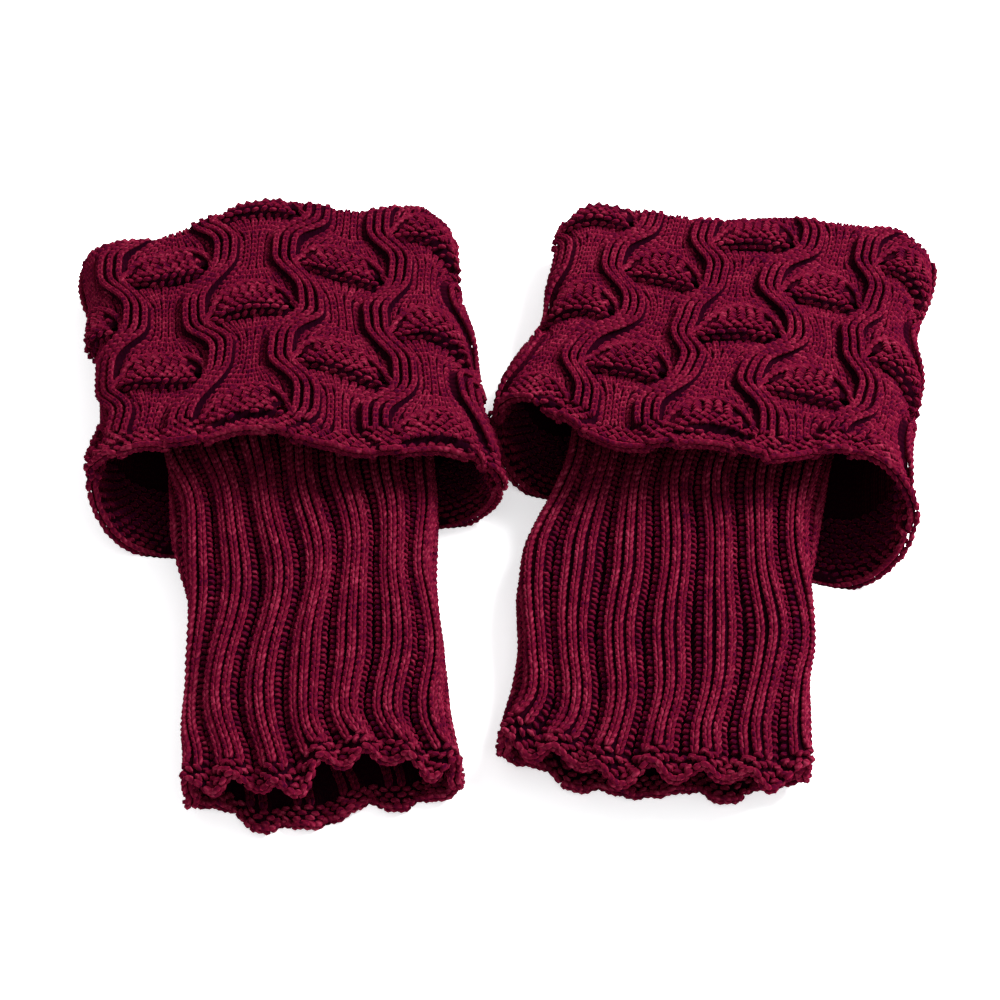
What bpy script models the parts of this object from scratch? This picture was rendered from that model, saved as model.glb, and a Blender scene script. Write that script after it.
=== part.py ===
"""A pair of short knitted boot-cuff leg warmers, laid flat side by side with their hems to the front.

Each warmer is a ribbed leg tube. A patterned lace cuff is knitted on at the back end of the tube, folds over
there and hangs back down over it like a skirt, so its mouth stands open round the ribs. The cuff is made in
two pieces, an upper and an under panel, parted at the side lines.

A warmer's own frame has x across it, y along it from the front hem to the fold and z up from the surface that
it lies on. A turn is a share of the girth: 0 at the left side, 0.25 on top, 0.5 at the right side and 0.75
underneath. Tables are in millimetres, everything else is in metres.
"""

import math
from typing import NamedTuple

import bmesh
import bpy
import numpy as np
from mathutils import Vector

MM = 0.001

# Driving dimensions of the cloth
SEAM_GAP = 0.0003
CUFF_WALL = 0.0022
TUBE_WALL = 0.0022
FOLD_SPACE = 0.0016  # air between the cuff and its turned-in lip
FOLD_DEPTH = CUFF_WALL + FOLD_SPACE  # from the cuff's outside to the near side of its turned-in lip
BLEND = 0.045  # how far below their join the tube begins to take on the cuff's section
BLEND_DONE = 0.0075  # how far below it the tube has that section
LIFT = 0.0028  # the tube's underside above the surface, where the cuff's under panel lies below it
CROWN = 0.12  # how far the cloth rises from its shoulders to the middle, as a share of its height
CORNER_POINTS = 61
SPAN_POINTS = 121

# Ribs of the leg tube
RIBS_ON_TOP = 7
RIB_RISE = 0.0022
POINTS_A_RIB = 5
FURROW_START = 0.45  # from a rib's middle line, as a share of the way to the furrow's
RIBS_ROUND = (-0.35, 0.25)  # heights on the girth, from -1 below to 1 on top, between which the ribs rise
RIBS_FADE = (0.150, 0.200)  # distances from the front hem line between which the ribs end, inside the cuff
SWAY_TURNS = 1.5  # waves of the ribs' sideways sway along the tube
HEM_FLARE = 0.0020  # how far a rib end springs out at the hem
HEM_FLARE_LENGTH = 0.012
SCALLOP = 0.0055  # from the hem's lobes at the furrows to its arches under the ribs' middles

# Lace of the cuff: crescents in a brick layout
CRESCENT_WIDTH = 0.94  # as a share of a column
CRESCENT_HEIGHT = 0.016
CRESCENT_MIDDLE = 0.45  # of its height, from the lower edge to the point that the lattice places
CRESCENT_RISE = 0.0036
CRESCENT_BELLY = 1.7  # the power of the rise from the arched top to the lower edge
UNDERCUT = 0.004  # length of the drop below a crescent's lower edge
LACE_ROUND = (-0.25, 0.10)  # heights on the girth, from -1 below to 1 on top, between which it rises
CUFF_SCALLOP = 0.003
SCALLOP_ROUND = (-0.30, 0.30)  # the same for the hem's scallops
EYELET_WIDTH = 0.0052
EYELET_SIDES = 8
EYELET_OFFSET = 0.44  # from the crescent's middle, as a share of a column
EYELET_DROP = 0.003  # how far above the crescent's lower edge its eyelets lie
COLUMNS_ON_TOP = range(-1, 6)
ROWS_OF_CRESCENTS = range(4)
SIDE_MARGIN = 0.03  # turn within which no eyelet is cut beside a side line
EDGE_MARGIN = 0.012  # length within which none is cut at the fold or the hem
CUTTER_OUTSIDE = 0.007  # how far a cutting pin stands out of the plain knit
CUTTER_INSIDE = 0.002  # and out of the wall's inside

# How finely the walls are faceted
HEM_SHARES = (0.0, 0.018, 0.045)  # the tube's first rows, as shares of its length
RIBBED_SHARES = (0.09, 0.62)  # its first and last evenly spaced rows
RIBBED_ROWS = 11
PLAIN_SHARES = (0.75, 0.88, 1.0)  # the rows that the cuff hides
TUBE_UNDER_CELLS = 18
TUBE_INNER_CELLS = 30
CUFF_TOP_CELLS = 32
CUFF_ROWS = 25
CORNER_SHARE = 0.17  # of a panel's width, which bends down or up at each side
UNDER_CELLS = (5, 5)  # in each corner and between them
INNER_CELLS = (4, 6)
FOLD_FACETS = 5
FORM_STEP = 0.001
FORM_TURNS = 400
NORMAL_REACH = 4  # points to each side that a section's slope is taken over
SHARP_ANGLE = math.radians(60)

YARN_COLOUR = (0.118, 0.004, 0.022, 1.0)
YARN_ROUGHNESS = 0.85


class Section(NamedTuple):
    """A tube's outer size at a distance along: over the rib crests, or over the cuff's plain knit."""

    along: float
    centre: float
    half_width: float
    height: float


class EdgeRow(NamedTuple):
    """Where an edge lies at a turn of the girth, as a distance from the front hem line."""

    turn: float
    along: float


class Lattice(NamedTuple):
    """Column and row numbers of the cuff's crescents at a place, as sums over the turn and the way down.

    Each number is its start, a step for a whole turn and a step for each metre down from the fold. Crescents
    lie at whole rows in even columns and half-way between in odd ones.
    """

    column_start: float
    column_turn: float
    column_down: float
    row_start: float
    row_turn: float
    row_down: float

    def numbers(self, turn, down):
        """The column and row number at a turn, counted from the left side, and a way down."""
        turn = (turn + 0.25) % 1.0 - 0.25
        column = self.column_start + self.column_turn * turn + self.column_down * down
        row = self.row_start + self.row_turn * turn + self.row_down * down
        return column, row

    def place(self, column, row):
        """The turn and the way down of a column and row number."""
        steps = np.array([[self.column_turn, self.column_down], [self.row_turn, self.row_down]])
        return np.linalg.solve(steps, [column - self.column_start, row - self.row_start])


class Warmer(NamedTuple):
    """One leg warmer: its place on the surface, its sections and its edges."""

    side: str
    place: tuple
    heading: float
    tube: list
    cuff: list
    tube_hem: list
    cuff_hem: list
    fold: list
    join: float
    ramp: tuple
    rib_sway: float
    lattice: Lattice


LEFT = Warmer(
    side="left",
    place=(-0.0628, -0.1317),
    heading=math.radians(8.5),
    tube=[
        Section(-12, 1.0, 46.5, 26),
        Section(2, 1.2, 46.8, 27),
        Section(26, 1.0, 46.0, 27),
        Section(45, 3.0, 45.3, 26),
        Section(64, 3.8, 45.0, 26),
        Section(88, 4.5, 45.5, 27),
        Section(106, 5.0, 48.5, 28),
        Section(133, 5.5, 50.0, 29),
        Section(165, 5.0, 52.0, 29),
        Section(205, 3.0, 60.0, 28),
        Section(240, 2.0, 67.0, 27),
        Section(280, 2.0, 70.0, 26),
    ],
    cuff=[
        Section(100, 4.0, 70.5, 48),
        Section(120, 3.4, 73.6, 49),
        Section(140, 2.8, 74.6, 47),
        Section(165, 3.2, 72.5, 43),
        Section(190, 3.5, 73.5, 39),
        Section(215, 1.5, 73.5, 36),
        Section(240, 2.0, 76.5, 33),
        Section(262, 2.0, 78.5, 31),
        Section(285, 2.0, 78.5, 30),
    ],
    tube_hem=[
        EdgeRow(0.00, 6),
        EdgeRow(0.08, 3),
        EdgeRow(0.20, -1),
        EdgeRow(0.30, 5),
        EdgeRow(0.38, 4),
        EdgeRow(0.46, -2),
        EdgeRow(0.54, -2),
        EdgeRow(0.60, -1),
        EdgeRow(0.75, -4.4),
        EdgeRow(0.86, -3),
        EdgeRow(0.94, 6),
        EdgeRow(1.00, 6),
    ],
    cuff_hem=[
        EdgeRow(0.00, 133),
        EdgeRow(0.05, 137),
        EdgeRow(0.09, 139),
        EdgeRow(0.14, 134),
        EdgeRow(0.22, 130),
        EdgeRow(0.32, 120),
        EdgeRow(0.42, 114),
        EdgeRow(0.50, 113),
        EdgeRow(0.58, 115),
        EdgeRow(0.75, 116),
        EdgeRow(0.90, 117),
        EdgeRow(0.96, 124),
        EdgeRow(1.00, 133),
    ],
    fold=[
        EdgeRow(0.00, 257),
        EdgeRow(0.06, 259),
        EdgeRow(0.12, 258),
        EdgeRow(0.20, 268),
        EdgeRow(0.27, 271),
        EdgeRow(0.36, 262),
        EdgeRow(0.44, 262),
        EdgeRow(0.50, 249),
        EdgeRow(0.62, 252),
        EdgeRow(0.75, 257),
        EdgeRow(0.90, 256),
        EdgeRow(1.00, 257),
    ],
    join=0.238,
    ramp=(0.086, 0.106),
    rib_sway=0.16,
    lattice=Lattice(-0.24, 9.2, 3.2, 0.33, -1.2, 16.0),
)

RIGHT = Warmer(
    side="right",
    place=(0.0502, -0.1237),
    heading=math.radians(-11.5),
    tube=[
        Section(-14, -2.0, 52.5, 26),
        Section(2, -2.0, 53.2, 27),
        Section(27, -2.2, 52.0, 27),
        Section(43, -4.5, 51.5, 26),
        Section(63, -7.5, 53.5, 27),
        Section(82, -9.0, 53.0, 27),
        Section(100, -7.5, 50.5, 28),
        Section(118, -6.0, 49.0, 29),
        Section(160, -4.0, 51.0, 29),
        Section(200, -2.0, 59.0, 28),
        Section(235, -1.0, 67.0, 27),
        Section(275, -1.0, 70.0, 26),
    ],
    cuff=[
        Section(90, -2.0, 72.5, 49),
        Section(112, -2.5, 76.0, 50),
        Section(130, -4.6, 77.6, 48),
        Section(150, -5.4, 77.2, 45),
        Section(167, -3.0, 76.0, 42),
        Section(185, 0.5, 74.2, 40),
        Section(212, -3.0, 73.0, 36),
        Section(240, -1.0, 77.0, 33),
        Section(275, -0.5, 78.5, 31),
    ],
    tube_hem=[
        EdgeRow(0.00, 2),
        EdgeRow(0.08, -5),
        EdgeRow(0.18, -9),
        EdgeRow(0.28, -6),
        EdgeRow(0.36, -3),
        EdgeRow(0.44, 3),
        EdgeRow(0.50, 8),
        EdgeRow(0.56, 10),
        EdgeRow(0.65, 2),
        EdgeRow(0.75, -3),
        EdgeRow(0.88, -3),
        EdgeRow(1.00, 2),
    ],
    cuff_hem=[
        EdgeRow(0.00, 131),
        EdgeRow(0.06, 127),
        EdgeRow(0.16, 114),
        EdgeRow(0.25, 112),
        EdgeRow(0.32, 117),
        EdgeRow(0.37, 127),
        EdgeRow(0.41, 127),
        EdgeRow(0.45, 118),
        EdgeRow(0.50, 109),
        EdgeRow(0.56, 101),
        EdgeRow(0.62, 100),
        EdgeRow(0.70, 116),
        EdgeRow(0.85, 119),
        EdgeRow(0.94, 121),
        EdgeRow(1.00, 131),
    ],
    fold=[
        EdgeRow(0.00, 247),
        EdgeRow(0.06, 253),
        EdgeRow(0.14, 252),
        EdgeRow(0.21, 250),
        EdgeRow(0.27, 256),
        EdgeRow(0.36, 261),
        EdgeRow(0.44, 262),
        EdgeRow(0.50, 252),
        EdgeRow(0.62, 250),
        EdgeRow(0.75, 252),
        EdgeRow(0.90, 249),
        EdgeRow(1.00, 247),
    ],
    join=0.238,
    ramp=(0.078, 0.098),
    rib_sway=-0.22,
    lattice=Lattice(-0.66, 10.1, 0.6, 0.02, -0.7, 17.3),
)


def smooth_read(knots, values, at):
    """Read a table's column between its rows, on a smooth curve through them."""
    knots, values = np.asarray(knots, float), np.asarray(values, float)
    at = np.clip(at, knots[0], knots[-1])
    slopes = np.gradient(values, knots)
    low = np.clip(np.searchsorted(knots, at) - 1, 0, len(knots) - 2)
    span = knots[low + 1] - knots[low]
    share = (at - knots[low]) / span
    start = values[low] + span * slopes[low] * share * (1 - share)
    end = values[low + 1] - span * slopes[low + 1] * share * (1 - share)
    blend = share * share * (3 - 2 * share)
    return start * (1 - blend) + end * blend


def ease(low, high, at):
    """0 below low, 1 above high and an even s-curve between."""
    share = np.clip((at - low) / (high - low), 0.0, 1.0)
    return share * share * (3 - 2 * share)


def edge(rows, turn):
    """The distance along at which an edge lies, for turns of 0 to 1."""
    turn = np.asarray(turn, float) % 1.0
    return smooth_read([r.turn for r in rows], [r.along * MM for r in rows], turn)


def outline(centre, half_width, height, lift):
    """One section, flat below and domed above, as evenly spaced points from the left side over the top."""
    middle = (height - lift) / 2
    quarter = np.linspace(0.0, math.pi / 2, CORNER_POINTS)
    flat = half_width - middle
    across = np.linspace(-1.0, 1.0, SPAN_POINTS)[1:-1]
    crown = CROWN * (height - lift)
    corner = np.stack([-half_width + middle * (1 - np.cos(quarter)), np.sin(quarter)], axis=1)
    mirrored = corner[::-1] * (-1, 1)
    halves = []
    for side, reach, dome in ((1, middle - crown, crown), (-1, middle, 0.0)):
        shoulder = np.concatenate([corner * (1, reach), mirrored * (1, reach)])
        bulge = reach + dome * (1 + np.cos(math.pi * across)) / 2
        span = np.stack([across * flat, bulge], axis=1)
        run = np.concatenate([shoulder[:CORNER_POINTS], span, shoulder[CORNER_POINTS:]])
        run = run * (side, side) + (centre, lift + middle)
        walked = np.concatenate([[0.0], np.cumsum(np.linalg.norm(np.diff(run, axis=0), axis=1))])
        even = np.linspace(0.0, walked[-1], FORM_TURNS // 2 + 1)[:-1]
        halves.append(np.stack([np.interp(even, walked, run[:, k]) for k in (0, 1)], axis=1))
    return np.concatenate(halves)


class Form:
    """The outer shape of a tube, read at any turn and distance along it, and any depth inwards."""

    def __init__(self, rows, ramp=None):
        along, centre, half_width, height = np.array(rows, float).T * MM
        self.first = along[0]
        self.count = int((along[-1] - self.first) / FORM_STEP) + 1
        self.rings = np.empty((self.count, FORM_TURNS, 2))
        for i in range(self.count):
            at = self.first + i * FORM_STEP
            size = [float(smooth_read(along, column, at)) for column in (centre, half_width, height)]
            lift = LIFT * float(ease(*ramp, at)) if ramp else 0.0
            self.rings[i] = outline(*size, lift)
        step = np.roll(self.rings, -NORMAL_REACH, axis=1) - np.roll(self.rings, NORMAL_REACH, axis=1)
        step /= np.linalg.norm(step, axis=2, keepdims=True)
        self.inward = np.stack([step[:, :, 1], -step[:, :, 0]], axis=2)

    def at(self, turn, along, depth):
        """Points at turns and distances along, moved inwards by a depth."""
        turn, along = np.broadcast_arrays(np.asarray(turn, float) % 1.0, along)
        row = np.clip((along - self.first) / FORM_STEP, 0, self.count - 1.001)
        i = row.astype(int)
        col = turn * FORM_TURNS
        j = col.astype(int) % FORM_TURNS
        f, g = (row - i)[..., None], (col - np.floor(col))[..., None]
        found = []
        for field in (self.rings, self.inward):
            near = field[i, j] * (1 - g) + field[i, (j + 1) % FORM_TURNS] * g
            far = field[i + 1, j] * (1 - g) + field[i + 1, (j + 1) % FORM_TURNS] * g
            found.append(near * (1 - f) + far * f)
        section = found[0] + found[1] * np.asarray(depth)[..., None]
        return np.stack([section[..., 0], along, section[..., 1]], axis=-1)


class Shape:
    """One warmer's surfaces."""

    def __init__(self, warmer):
        self.warmer = warmer
        self.tube = Form(warmer.tube, warmer.ramp)
        self.cuff = Form(warmer.cuff)

    def tube_wall(self, stitch, share, inside=False):
        """The leg tube at a stitch's share of the girth and a share of the length from the hem.

        The ribs are raised in the outside. The inside is plain.
        """
        w = self.warmer
        turn = stitch - w.rib_sway * np.sin(SWAY_TURNS * 2 * math.pi * share) / (2 * RIBS_ON_TOP)
        hem = edge(w.tube_hem, turn)
        along = hem + share * (w.join - SEAM_GAP - hem)
        ribbed = ease(*RIBS_ROUND, np.sin(2 * math.pi * turn)) * (1 - ease(*RIBS_FADE, along))
        furrow = ease(FURROW_START, 1.0, np.abs(2 * (stitch * 2 * RIBS_ON_TOP % 1.0) - 1))
        crest = 1 - ribbed * furrow
        near_hem = 1 - ease(0.0, HEM_FLARE_LENGTH, along - hem)
        along = along - SCALLOP / 2 * near_hem * np.cos(2 * math.pi * 2 * RIBS_ON_TOP * stitch)
        flare = HEM_FLARE * ribbed * near_hem * crest
        depth = RIB_RISE * (1 - crest) - flare
        if inside:
            depth = TUBE_WALL + RIB_RISE * ribbed - flare
        own = self.tube.at(turn, along, depth)
        joined = self.cuff.at(turn, along, depth + FOLD_DEPTH)
        at_top = ease(w.join - BLEND, w.join - BLEND_DONE, along)[..., None]
        return own * (1 - at_top) + joined * at_top

    def cuff_place(self, turn, share):
        """The distance along of the cuff's cloth at a share of its length from the hem, below the fold."""
        w = self.warmer
        top = edge(w.fold, turn)
        hem = edge(w.cuff_hem, turn)
        column = w.lattice.numbers(turn, top - hem)[0]
        scalloped = ease(*SCALLOP_ROUND, np.sin(2 * math.pi * turn))
        hem = hem + CUFF_SCALLOP * scalloped * np.cos(math.pi * column)
        return hem + share * (top - hem)

    def lace(self, turn, along):
        """How far the cuff's crescents stand out."""
        lattice = self.warmer.lattice
        column, row = lattice.numbers(turn, edge(self.warmer.fold, turn) - along)
        nearest = np.round(column)
        off = (column - nearest) / (CRESCENT_WIDTH / 2)
        arch = CRESCENT_HEIGHT * np.sqrt(np.clip(1 - off * off, 0.0, 1.0))
        row = row - (nearest % 2) / 2
        below = (row - np.round(row)) / lattice.row_down - CRESCENT_HEIGHT * CRESCENT_MIDDLE
        body = np.clip(1 + below / np.maximum(arch, MM), 0.0, 1.0) ** (1 / CRESCENT_BELLY)
        drop = 1 - ease(0.0, UNDERCUT, below)
        upper = ease(*LACE_ROUND, np.sin(2 * math.pi * turn))
        return CRESCENT_RISE * np.where(below <= 0, body, drop) * (arch > MM) * upper

    def cuff_sheet(self, turn, share, inside=False):
        """The cuff from its hem, at share 0, to the fold, at 1, and by 2 round it to the end of the lip."""
        turn, share = np.broadcast_arrays(turn, share)
        along = self.cuff_place(turn, np.minimum(share, 1.0))
        bend = np.clip((share - 1) / 0.5, 0.0, 1.0) * math.pi
        lip = np.clip((share - 1.5) / 0.5, 0.0, 1.0) * (edge(self.warmer.fold, turn) - self.warmer.join)
        middle = (FOLD_DEPTH + CUFF_WALL) / 2
        radius = middle - CUFF_WALL if inside else middle
        depth = middle - radius * np.cos(bend)
        relief = 0.0 if inside else self.lace(turn, along) * (1 - ease(0.0, 1.0, bend))
        places = self.cuff.at(turn, along - lip, depth - relief)
        places[..., 1] += radius * np.sin(bend)
        return places


def strip(first, second, first_at, second_at):
    """Triangles between two runs of point numbers, each with its points' places along the common edge."""
    faces, i, j = [], 0, 0
    while i < len(first) - 1 or j < len(second) - 1:
        if j == len(second) - 1 or (i < len(first) - 1 and first_at[i + 1] <= second_at[j + 1]):
            faces.append((first[i], first[i + 1], second[j]))
            i += 1
        else:
            faces.append((first[i], second[j + 1], second[j]))
            j += 1
    return faces


class Wall:
    """The points and faces of one closed wall of cloth."""

    def __init__(self):
        self.points = []
        self.faces = []

    def sheet(self, places, closed):
        """Add a grid of places, rows by columns, and return its point numbers."""
        rows, columns = places.shape[:2]
        numbers = np.arange(rows * columns).reshape(rows, columns) + len(self.points)
        self.points.extend(places.reshape(-1, 3).tolist())
        around = np.concatenate([numbers, numbers[:, :1]], axis=1) if closed else numbers
        for near, far in zip(around[:-1], around[1:]):
            for k in range(len(near) - 1):
                self.faces.append((near[k], near[k + 1], far[k + 1], far[k]))
        return around

    def close(self, first, second, first_at, second_at):
        """Close the gap between two edges."""
        self.faces.extend(strip(first, second, first_at, second_at))

    def build(self, name, material):
        """Make the object, with its faces turned outwards."""
        mesh = bpy.data.meshes.new(name)
        work = bmesh.new()
        points = [work.verts.new(p) for p in self.points]
        for face in self.faces:
            work.faces.new([points[k] for k in face])
        bmesh.ops.triangulate(work, faces=work.faces[:])
        bmesh.ops.recalc_face_normals(work, faces=work.faces[:])
        work.to_mesh(mesh)
        work.free()
        mesh.shade_smooth()
        mesh.set_sharp_from_angle(angle=SHARP_ANGLE)
        mesh.materials.append(material)
        made = bpy.data.objects.new(name, mesh)
        bpy.context.scene.collection.objects.link(made)
        return made


def yarn(name):
    """Soft wine-red acrylic yarn."""
    material = bpy.data.materials.new(name)
    material.use_nodes = True
    shader = material.node_tree.nodes["Principled BSDF"]
    shader.inputs["Base Color"].default_value = YARN_COLOUR
    shader.inputs["Roughness"].default_value = YARN_ROUGHNESS
    shader.inputs["Metallic"].default_value = 0.0
    return material


def put(made, warmer):
    """Lay a piece where its warmer lies on the surface."""
    made.location = (*warmer.place, 0.0)
    made.rotation_euler = (0.0, 0.0, warmer.heading)
    return made


def make_tube(shape):
    """The ribbed leg tube: ribs raised in the outside over a plain inside."""
    top = np.linspace(0.0, 0.5, RIBS_ON_TOP * POINTS_A_RIB + 1)
    under = np.linspace(0.5, 1.0, TUBE_UNDER_CELLS + 1)[1:]
    around = np.concatenate([top, under])
    shares = np.concatenate([HEM_SHARES, np.linspace(*RIBBED_SHARES, RIBBED_ROWS), PLAIN_SHARES])
    inner_around = np.linspace(0.0, 1.0, TUBE_INNER_CELLS + 1)
    wall = Wall()
    outer = wall.sheet(shape.tube_wall(around[None, :-1], shares[:, None]), closed=True)
    inner = wall.sheet(shape.tube_wall(inner_around[None, :-1], shares[::2, None], inside=True), closed=True)
    for end in (0, -1):
        wall.close(outer[end], inner[end], around, inner_around)
    name = f"{shape.warmer.side}_rib_tube"
    return put(wall.build(name, yarn(f"{name}_yarn")), shape.warmer)


def spaced(start, corner_cells, flat_cells):
    """Turns across half the girth, closer together in its two rounded corners."""
    corner = np.linspace(0.0, CORNER_SHARE, corner_cells + 1)
    flat = np.linspace(CORNER_SHARE, 1 - CORNER_SHARE, flat_cells + 1)[1:-1]
    return start + 0.5 * np.concatenate([corner, flat, 1 - corner[::-1]])


def cuff_shares():
    """The rows of a cuff panel: its length, then the fold and the lip."""
    fold = 1 + 0.5 * np.linspace(0.0, 1.0, FOLD_FACETS + 1)[1:]
    return np.concatenate([np.linspace(0.0, 1.0, CUFF_ROWS), fold, [2.0]])


def make_cuff(shape, piece, turns, away):
    """One panel of the cuff, from the hem over the fold to the lip's end, its side edges moved away."""
    shares = cuff_shares()
    inner_shares = np.concatenate([shares[:CUFF_ROWS:2], shares[CUFF_ROWS:]])
    inner_turns = spaced(turns[0], *INNER_CELLS)
    outside = shape.cuff_sheet(turns[None, :], shares[:, None])
    inside = shape.cuff_sheet(inner_turns[None, :], inner_shares[:, None], inside=True)
    wall = Wall()
    for places in (outside, inside):
        places[:, (0, -1), 2] += away
    outer = wall.sheet(outside, closed=False)
    inner = wall.sheet(inside, closed=False)
    for end in (0, -1):
        wall.close(outer[end], inner[end], turns, inner_turns)
        wall.close(outer[:, end], inner[:, end], shares, inner_shares)
    name = f"{shape.warmer.side}_{piece}"
    return put(wall.build(name, yarn(f"{name}_yarn")), shape.warmer)


def eyelets(shape):
    """Turn and distance along of each eyelet on the upper panel, at both ends of each crescent."""
    w = shape.warmer
    found = []
    for column in COLUMNS_ON_TOP:
        for row in ROWS_OF_CRESCENTS:
            for end in (-1, 1):
                turn, down = w.lattice.place(column + end * EYELET_OFFSET, row + (column % 2) / 2)
                down += CRESCENT_HEIGHT * CRESCENT_MIDDLE - EYELET_DROP
                if SIDE_MARGIN < turn < 0.5 - SIDE_MARGIN and down > EDGE_MARGIN:
                    along = float(edge(w.fold, turn)) - down
                    if along > float(edge(w.cuff_hem, turn)) + EDGE_MARGIN:
                        found.append((turn, along))
    return found


def eyelet_cutter(shape):
    """One object that holds a short many-sided pin through each eyelet."""
    mesh = bpy.data.meshes.new("eyelet_cutter")
    work = bmesh.new()
    for turn, along in eyelets(shape):
        outside = Vector(shape.cuff.at(turn, along, -CUTTER_OUTSIDE).tolist())
        inside = Vector(shape.cuff.at(turn, along, CUFF_WALL + CUTTER_INSIDE).tolist())
        axis = outside - inside
        turned = axis.to_track_quat("Z", "Y").to_matrix().to_4x4()
        turned.translation = (outside + inside) / 2
        bmesh.ops.create_cone(
            work,
            cap_ends=True,
            segments=EYELET_SIDES,
            radius1=EYELET_WIDTH / 2,
            radius2=EYELET_WIDTH / 2,
            depth=axis.length,
            matrix=turned,
        )
    work.to_mesh(mesh)
    work.free()
    cutter = bpy.data.objects.new(f"{shape.warmer.side}_eyelet_cutter", mesh)
    cutter.hide_render = True
    cutter.display_type = "WIRE"
    bpy.context.scene.collection.objects.link(cutter)
    return put(cutter, shape.warmer)


def make_warmer(warmer):
    """The three pieces of one leg warmer."""
    shape = Shape(warmer)
    make_tube(shape)
    upper = make_cuff(shape, "cuff_upper", np.linspace(0.0, 0.5, CUFF_TOP_CELLS + 1), SEAM_GAP / 2)
    cut = upper.modifiers.new("eyelets", "BOOLEAN")
    cut.operation = "DIFFERENCE"
    cut.object = eyelet_cutter(shape)
    make_cuff(shape, "cuff_under", spaced(0.5, *UNDER_CELLS), -SEAM_GAP / 2)


def main():
    """Clear the scene and make both warmers."""
    for old in list(bpy.data.objects):
        bpy.data.objects.remove(old)
    for warmer in (LEFT, RIGHT):
        make_warmer(warmer)


main()
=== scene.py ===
"""A pair of knitted boot-cuff leg warmers, laid flat side by side and dressed in single stitches.

Each warmer is a ribbed leg tube and a lace cuff that is folded down over it. The cloth of each is a thin
corrugated shell, painted near black as the shade that shows between and under the stitches. Its stitches are
short lengths of yarn laid on that shell: plain stitches in upright wales, purl bumps in the furrows darkened with
painted shade, raised chains that sway round the crescents, garter bumps on the crescents and on the cuff's band,
and thick bumps round the hems. Yarn that lies deep, by the furrows, round the under fold and inside the hems,
has painted shade in its tone.

A warmer's own frame has x across it, y along it from the front hem to the fold and z up. A turn is a share of
the girth: 0 at the left side, 0.25 on top, 0.5 at the right side and 0.75 underneath. Tables are in
millimetres, everything else is in metres.
"""

import logging
import math
from dataclasses import dataclass, field
from enum import Enum
from typing import Any, Callable, NamedTuple

import bpy
import numpy as np
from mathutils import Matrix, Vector


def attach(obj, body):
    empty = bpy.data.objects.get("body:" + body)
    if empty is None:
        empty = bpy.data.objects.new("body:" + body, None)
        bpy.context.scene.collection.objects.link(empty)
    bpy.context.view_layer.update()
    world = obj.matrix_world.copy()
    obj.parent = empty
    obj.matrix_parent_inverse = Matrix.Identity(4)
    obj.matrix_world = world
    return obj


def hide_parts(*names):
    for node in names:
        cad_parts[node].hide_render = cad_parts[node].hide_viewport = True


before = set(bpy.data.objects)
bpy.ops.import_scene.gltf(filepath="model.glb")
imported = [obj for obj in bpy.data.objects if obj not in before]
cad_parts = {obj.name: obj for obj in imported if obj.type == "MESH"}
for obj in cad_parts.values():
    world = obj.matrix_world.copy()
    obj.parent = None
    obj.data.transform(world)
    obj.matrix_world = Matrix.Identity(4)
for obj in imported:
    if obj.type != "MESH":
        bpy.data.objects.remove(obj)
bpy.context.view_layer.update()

log = logging.getLogger("leg_warmers")

MM = 0.001
BODY = "root"
WHOLE_TURN = 2 * math.pi
QUARTER = 0.25  # of a turn
UNDERNEATH = -0.6  # the sine of a turn at which a tube's side has become its underside
WALE = 0.0035  # the width of a stitch
ROW = 0.00285  # the height of a stitch

Array = np.ndarray
Keep = Callable[[Array, Array, Array], Array]  # which stitches stay, by their places round, places down and points


class Slot(Enum):
    """The two kinds of knitted cloth."""

    RIB = "rib_knit"
    LACE = "lace_knit"


class Leg(NamedTuple):
    """One leg of a plain stitch: how far out of the wale its points lie, and the yarn's half sizes and bow."""

    spread: tuple[float, float, float] = (0.08, 0.21, 0.26)
    width: float = 0.00082
    depth: float = 0.00100
    bow: float = 0.00055


class Bump(NamedTuple):
    """One garter bump: its half length, the yarn's half sizes and its bow."""

    half_length: float
    width: float
    depth: float
    bow: float


PLAIN = Leg()
RAISED = Leg((0.04, 0.13, 0.16), 0.00074, 0.00108, 0.00060)
FINE = Leg((0.055, 0.175, 0.215), 0.00073, 0.00086, 0.00048)
PEBBLE = Bump(0.00145, 0.00092, 0.00098, 0.00105)
PURL = Bump(0.00120, 0.00092, 0.00085, 0.00045)
EDGE = Bump(0.00175, 0.00112, 0.00115, 0.00070)


class Section(NamedTuple):
    """A tube's outer size at a distance along, over the rib crests or over the cuff's plain knit."""

    along: float
    centre: float
    half_width: float
    height: float


class EdgeRow(NamedTuple):
    """Where an edge lies at a turn of the girth, as a distance from the front hem line."""

    turn: float
    along: float


def sections(*rows: tuple[float, float, float, float]) -> list[Section]:
    """A tube's sections, from rows of a distance along, a centre, a half width and a height."""
    return [Section(*row) for row in rows]


def edge_rows(*rows: tuple[float, float]) -> list[EdgeRow]:
    """An edge's rows, from pairs of a turn and a distance along."""
    return [EdgeRow(*row) for row in rows]


def smooth_read(knots: list[float], values: list[float], at: Array) -> Array:
    """Read a table's column between its rows, on a smooth curve through them.

    Args:
        knots: The rows' places, rising.
        values: The column's values.
        at: The places to read at.

    Returns:
        The values there.
    """
    knots, values = np.asarray(knots, float), np.asarray(values, float)
    at = np.clip(at, knots[0], knots[-1])
    slopes = np.gradient(values, knots)
    low = np.clip(np.searchsorted(knots, at) - 1, 0, len(knots) - 2)
    span = knots[low + 1] - knots[low]
    share = (at - knots[low]) / span
    start = values[low] + span * slopes[low] * share * (1 - share)
    end = values[low + 1] - span * slopes[low + 1] * share * (1 - share)
    blend = share * share * (3 - 2 * share)
    return start * (1 - blend) + end * blend


def ease(low: float, high: float, at: Array) -> Array:
    """0 below low, 1 above high and an even s-curve between."""
    share = np.clip((np.asarray(at) - low) / (high - low), 0.0, 1.0)
    return share * share * (3 - 2 * share)


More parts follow.
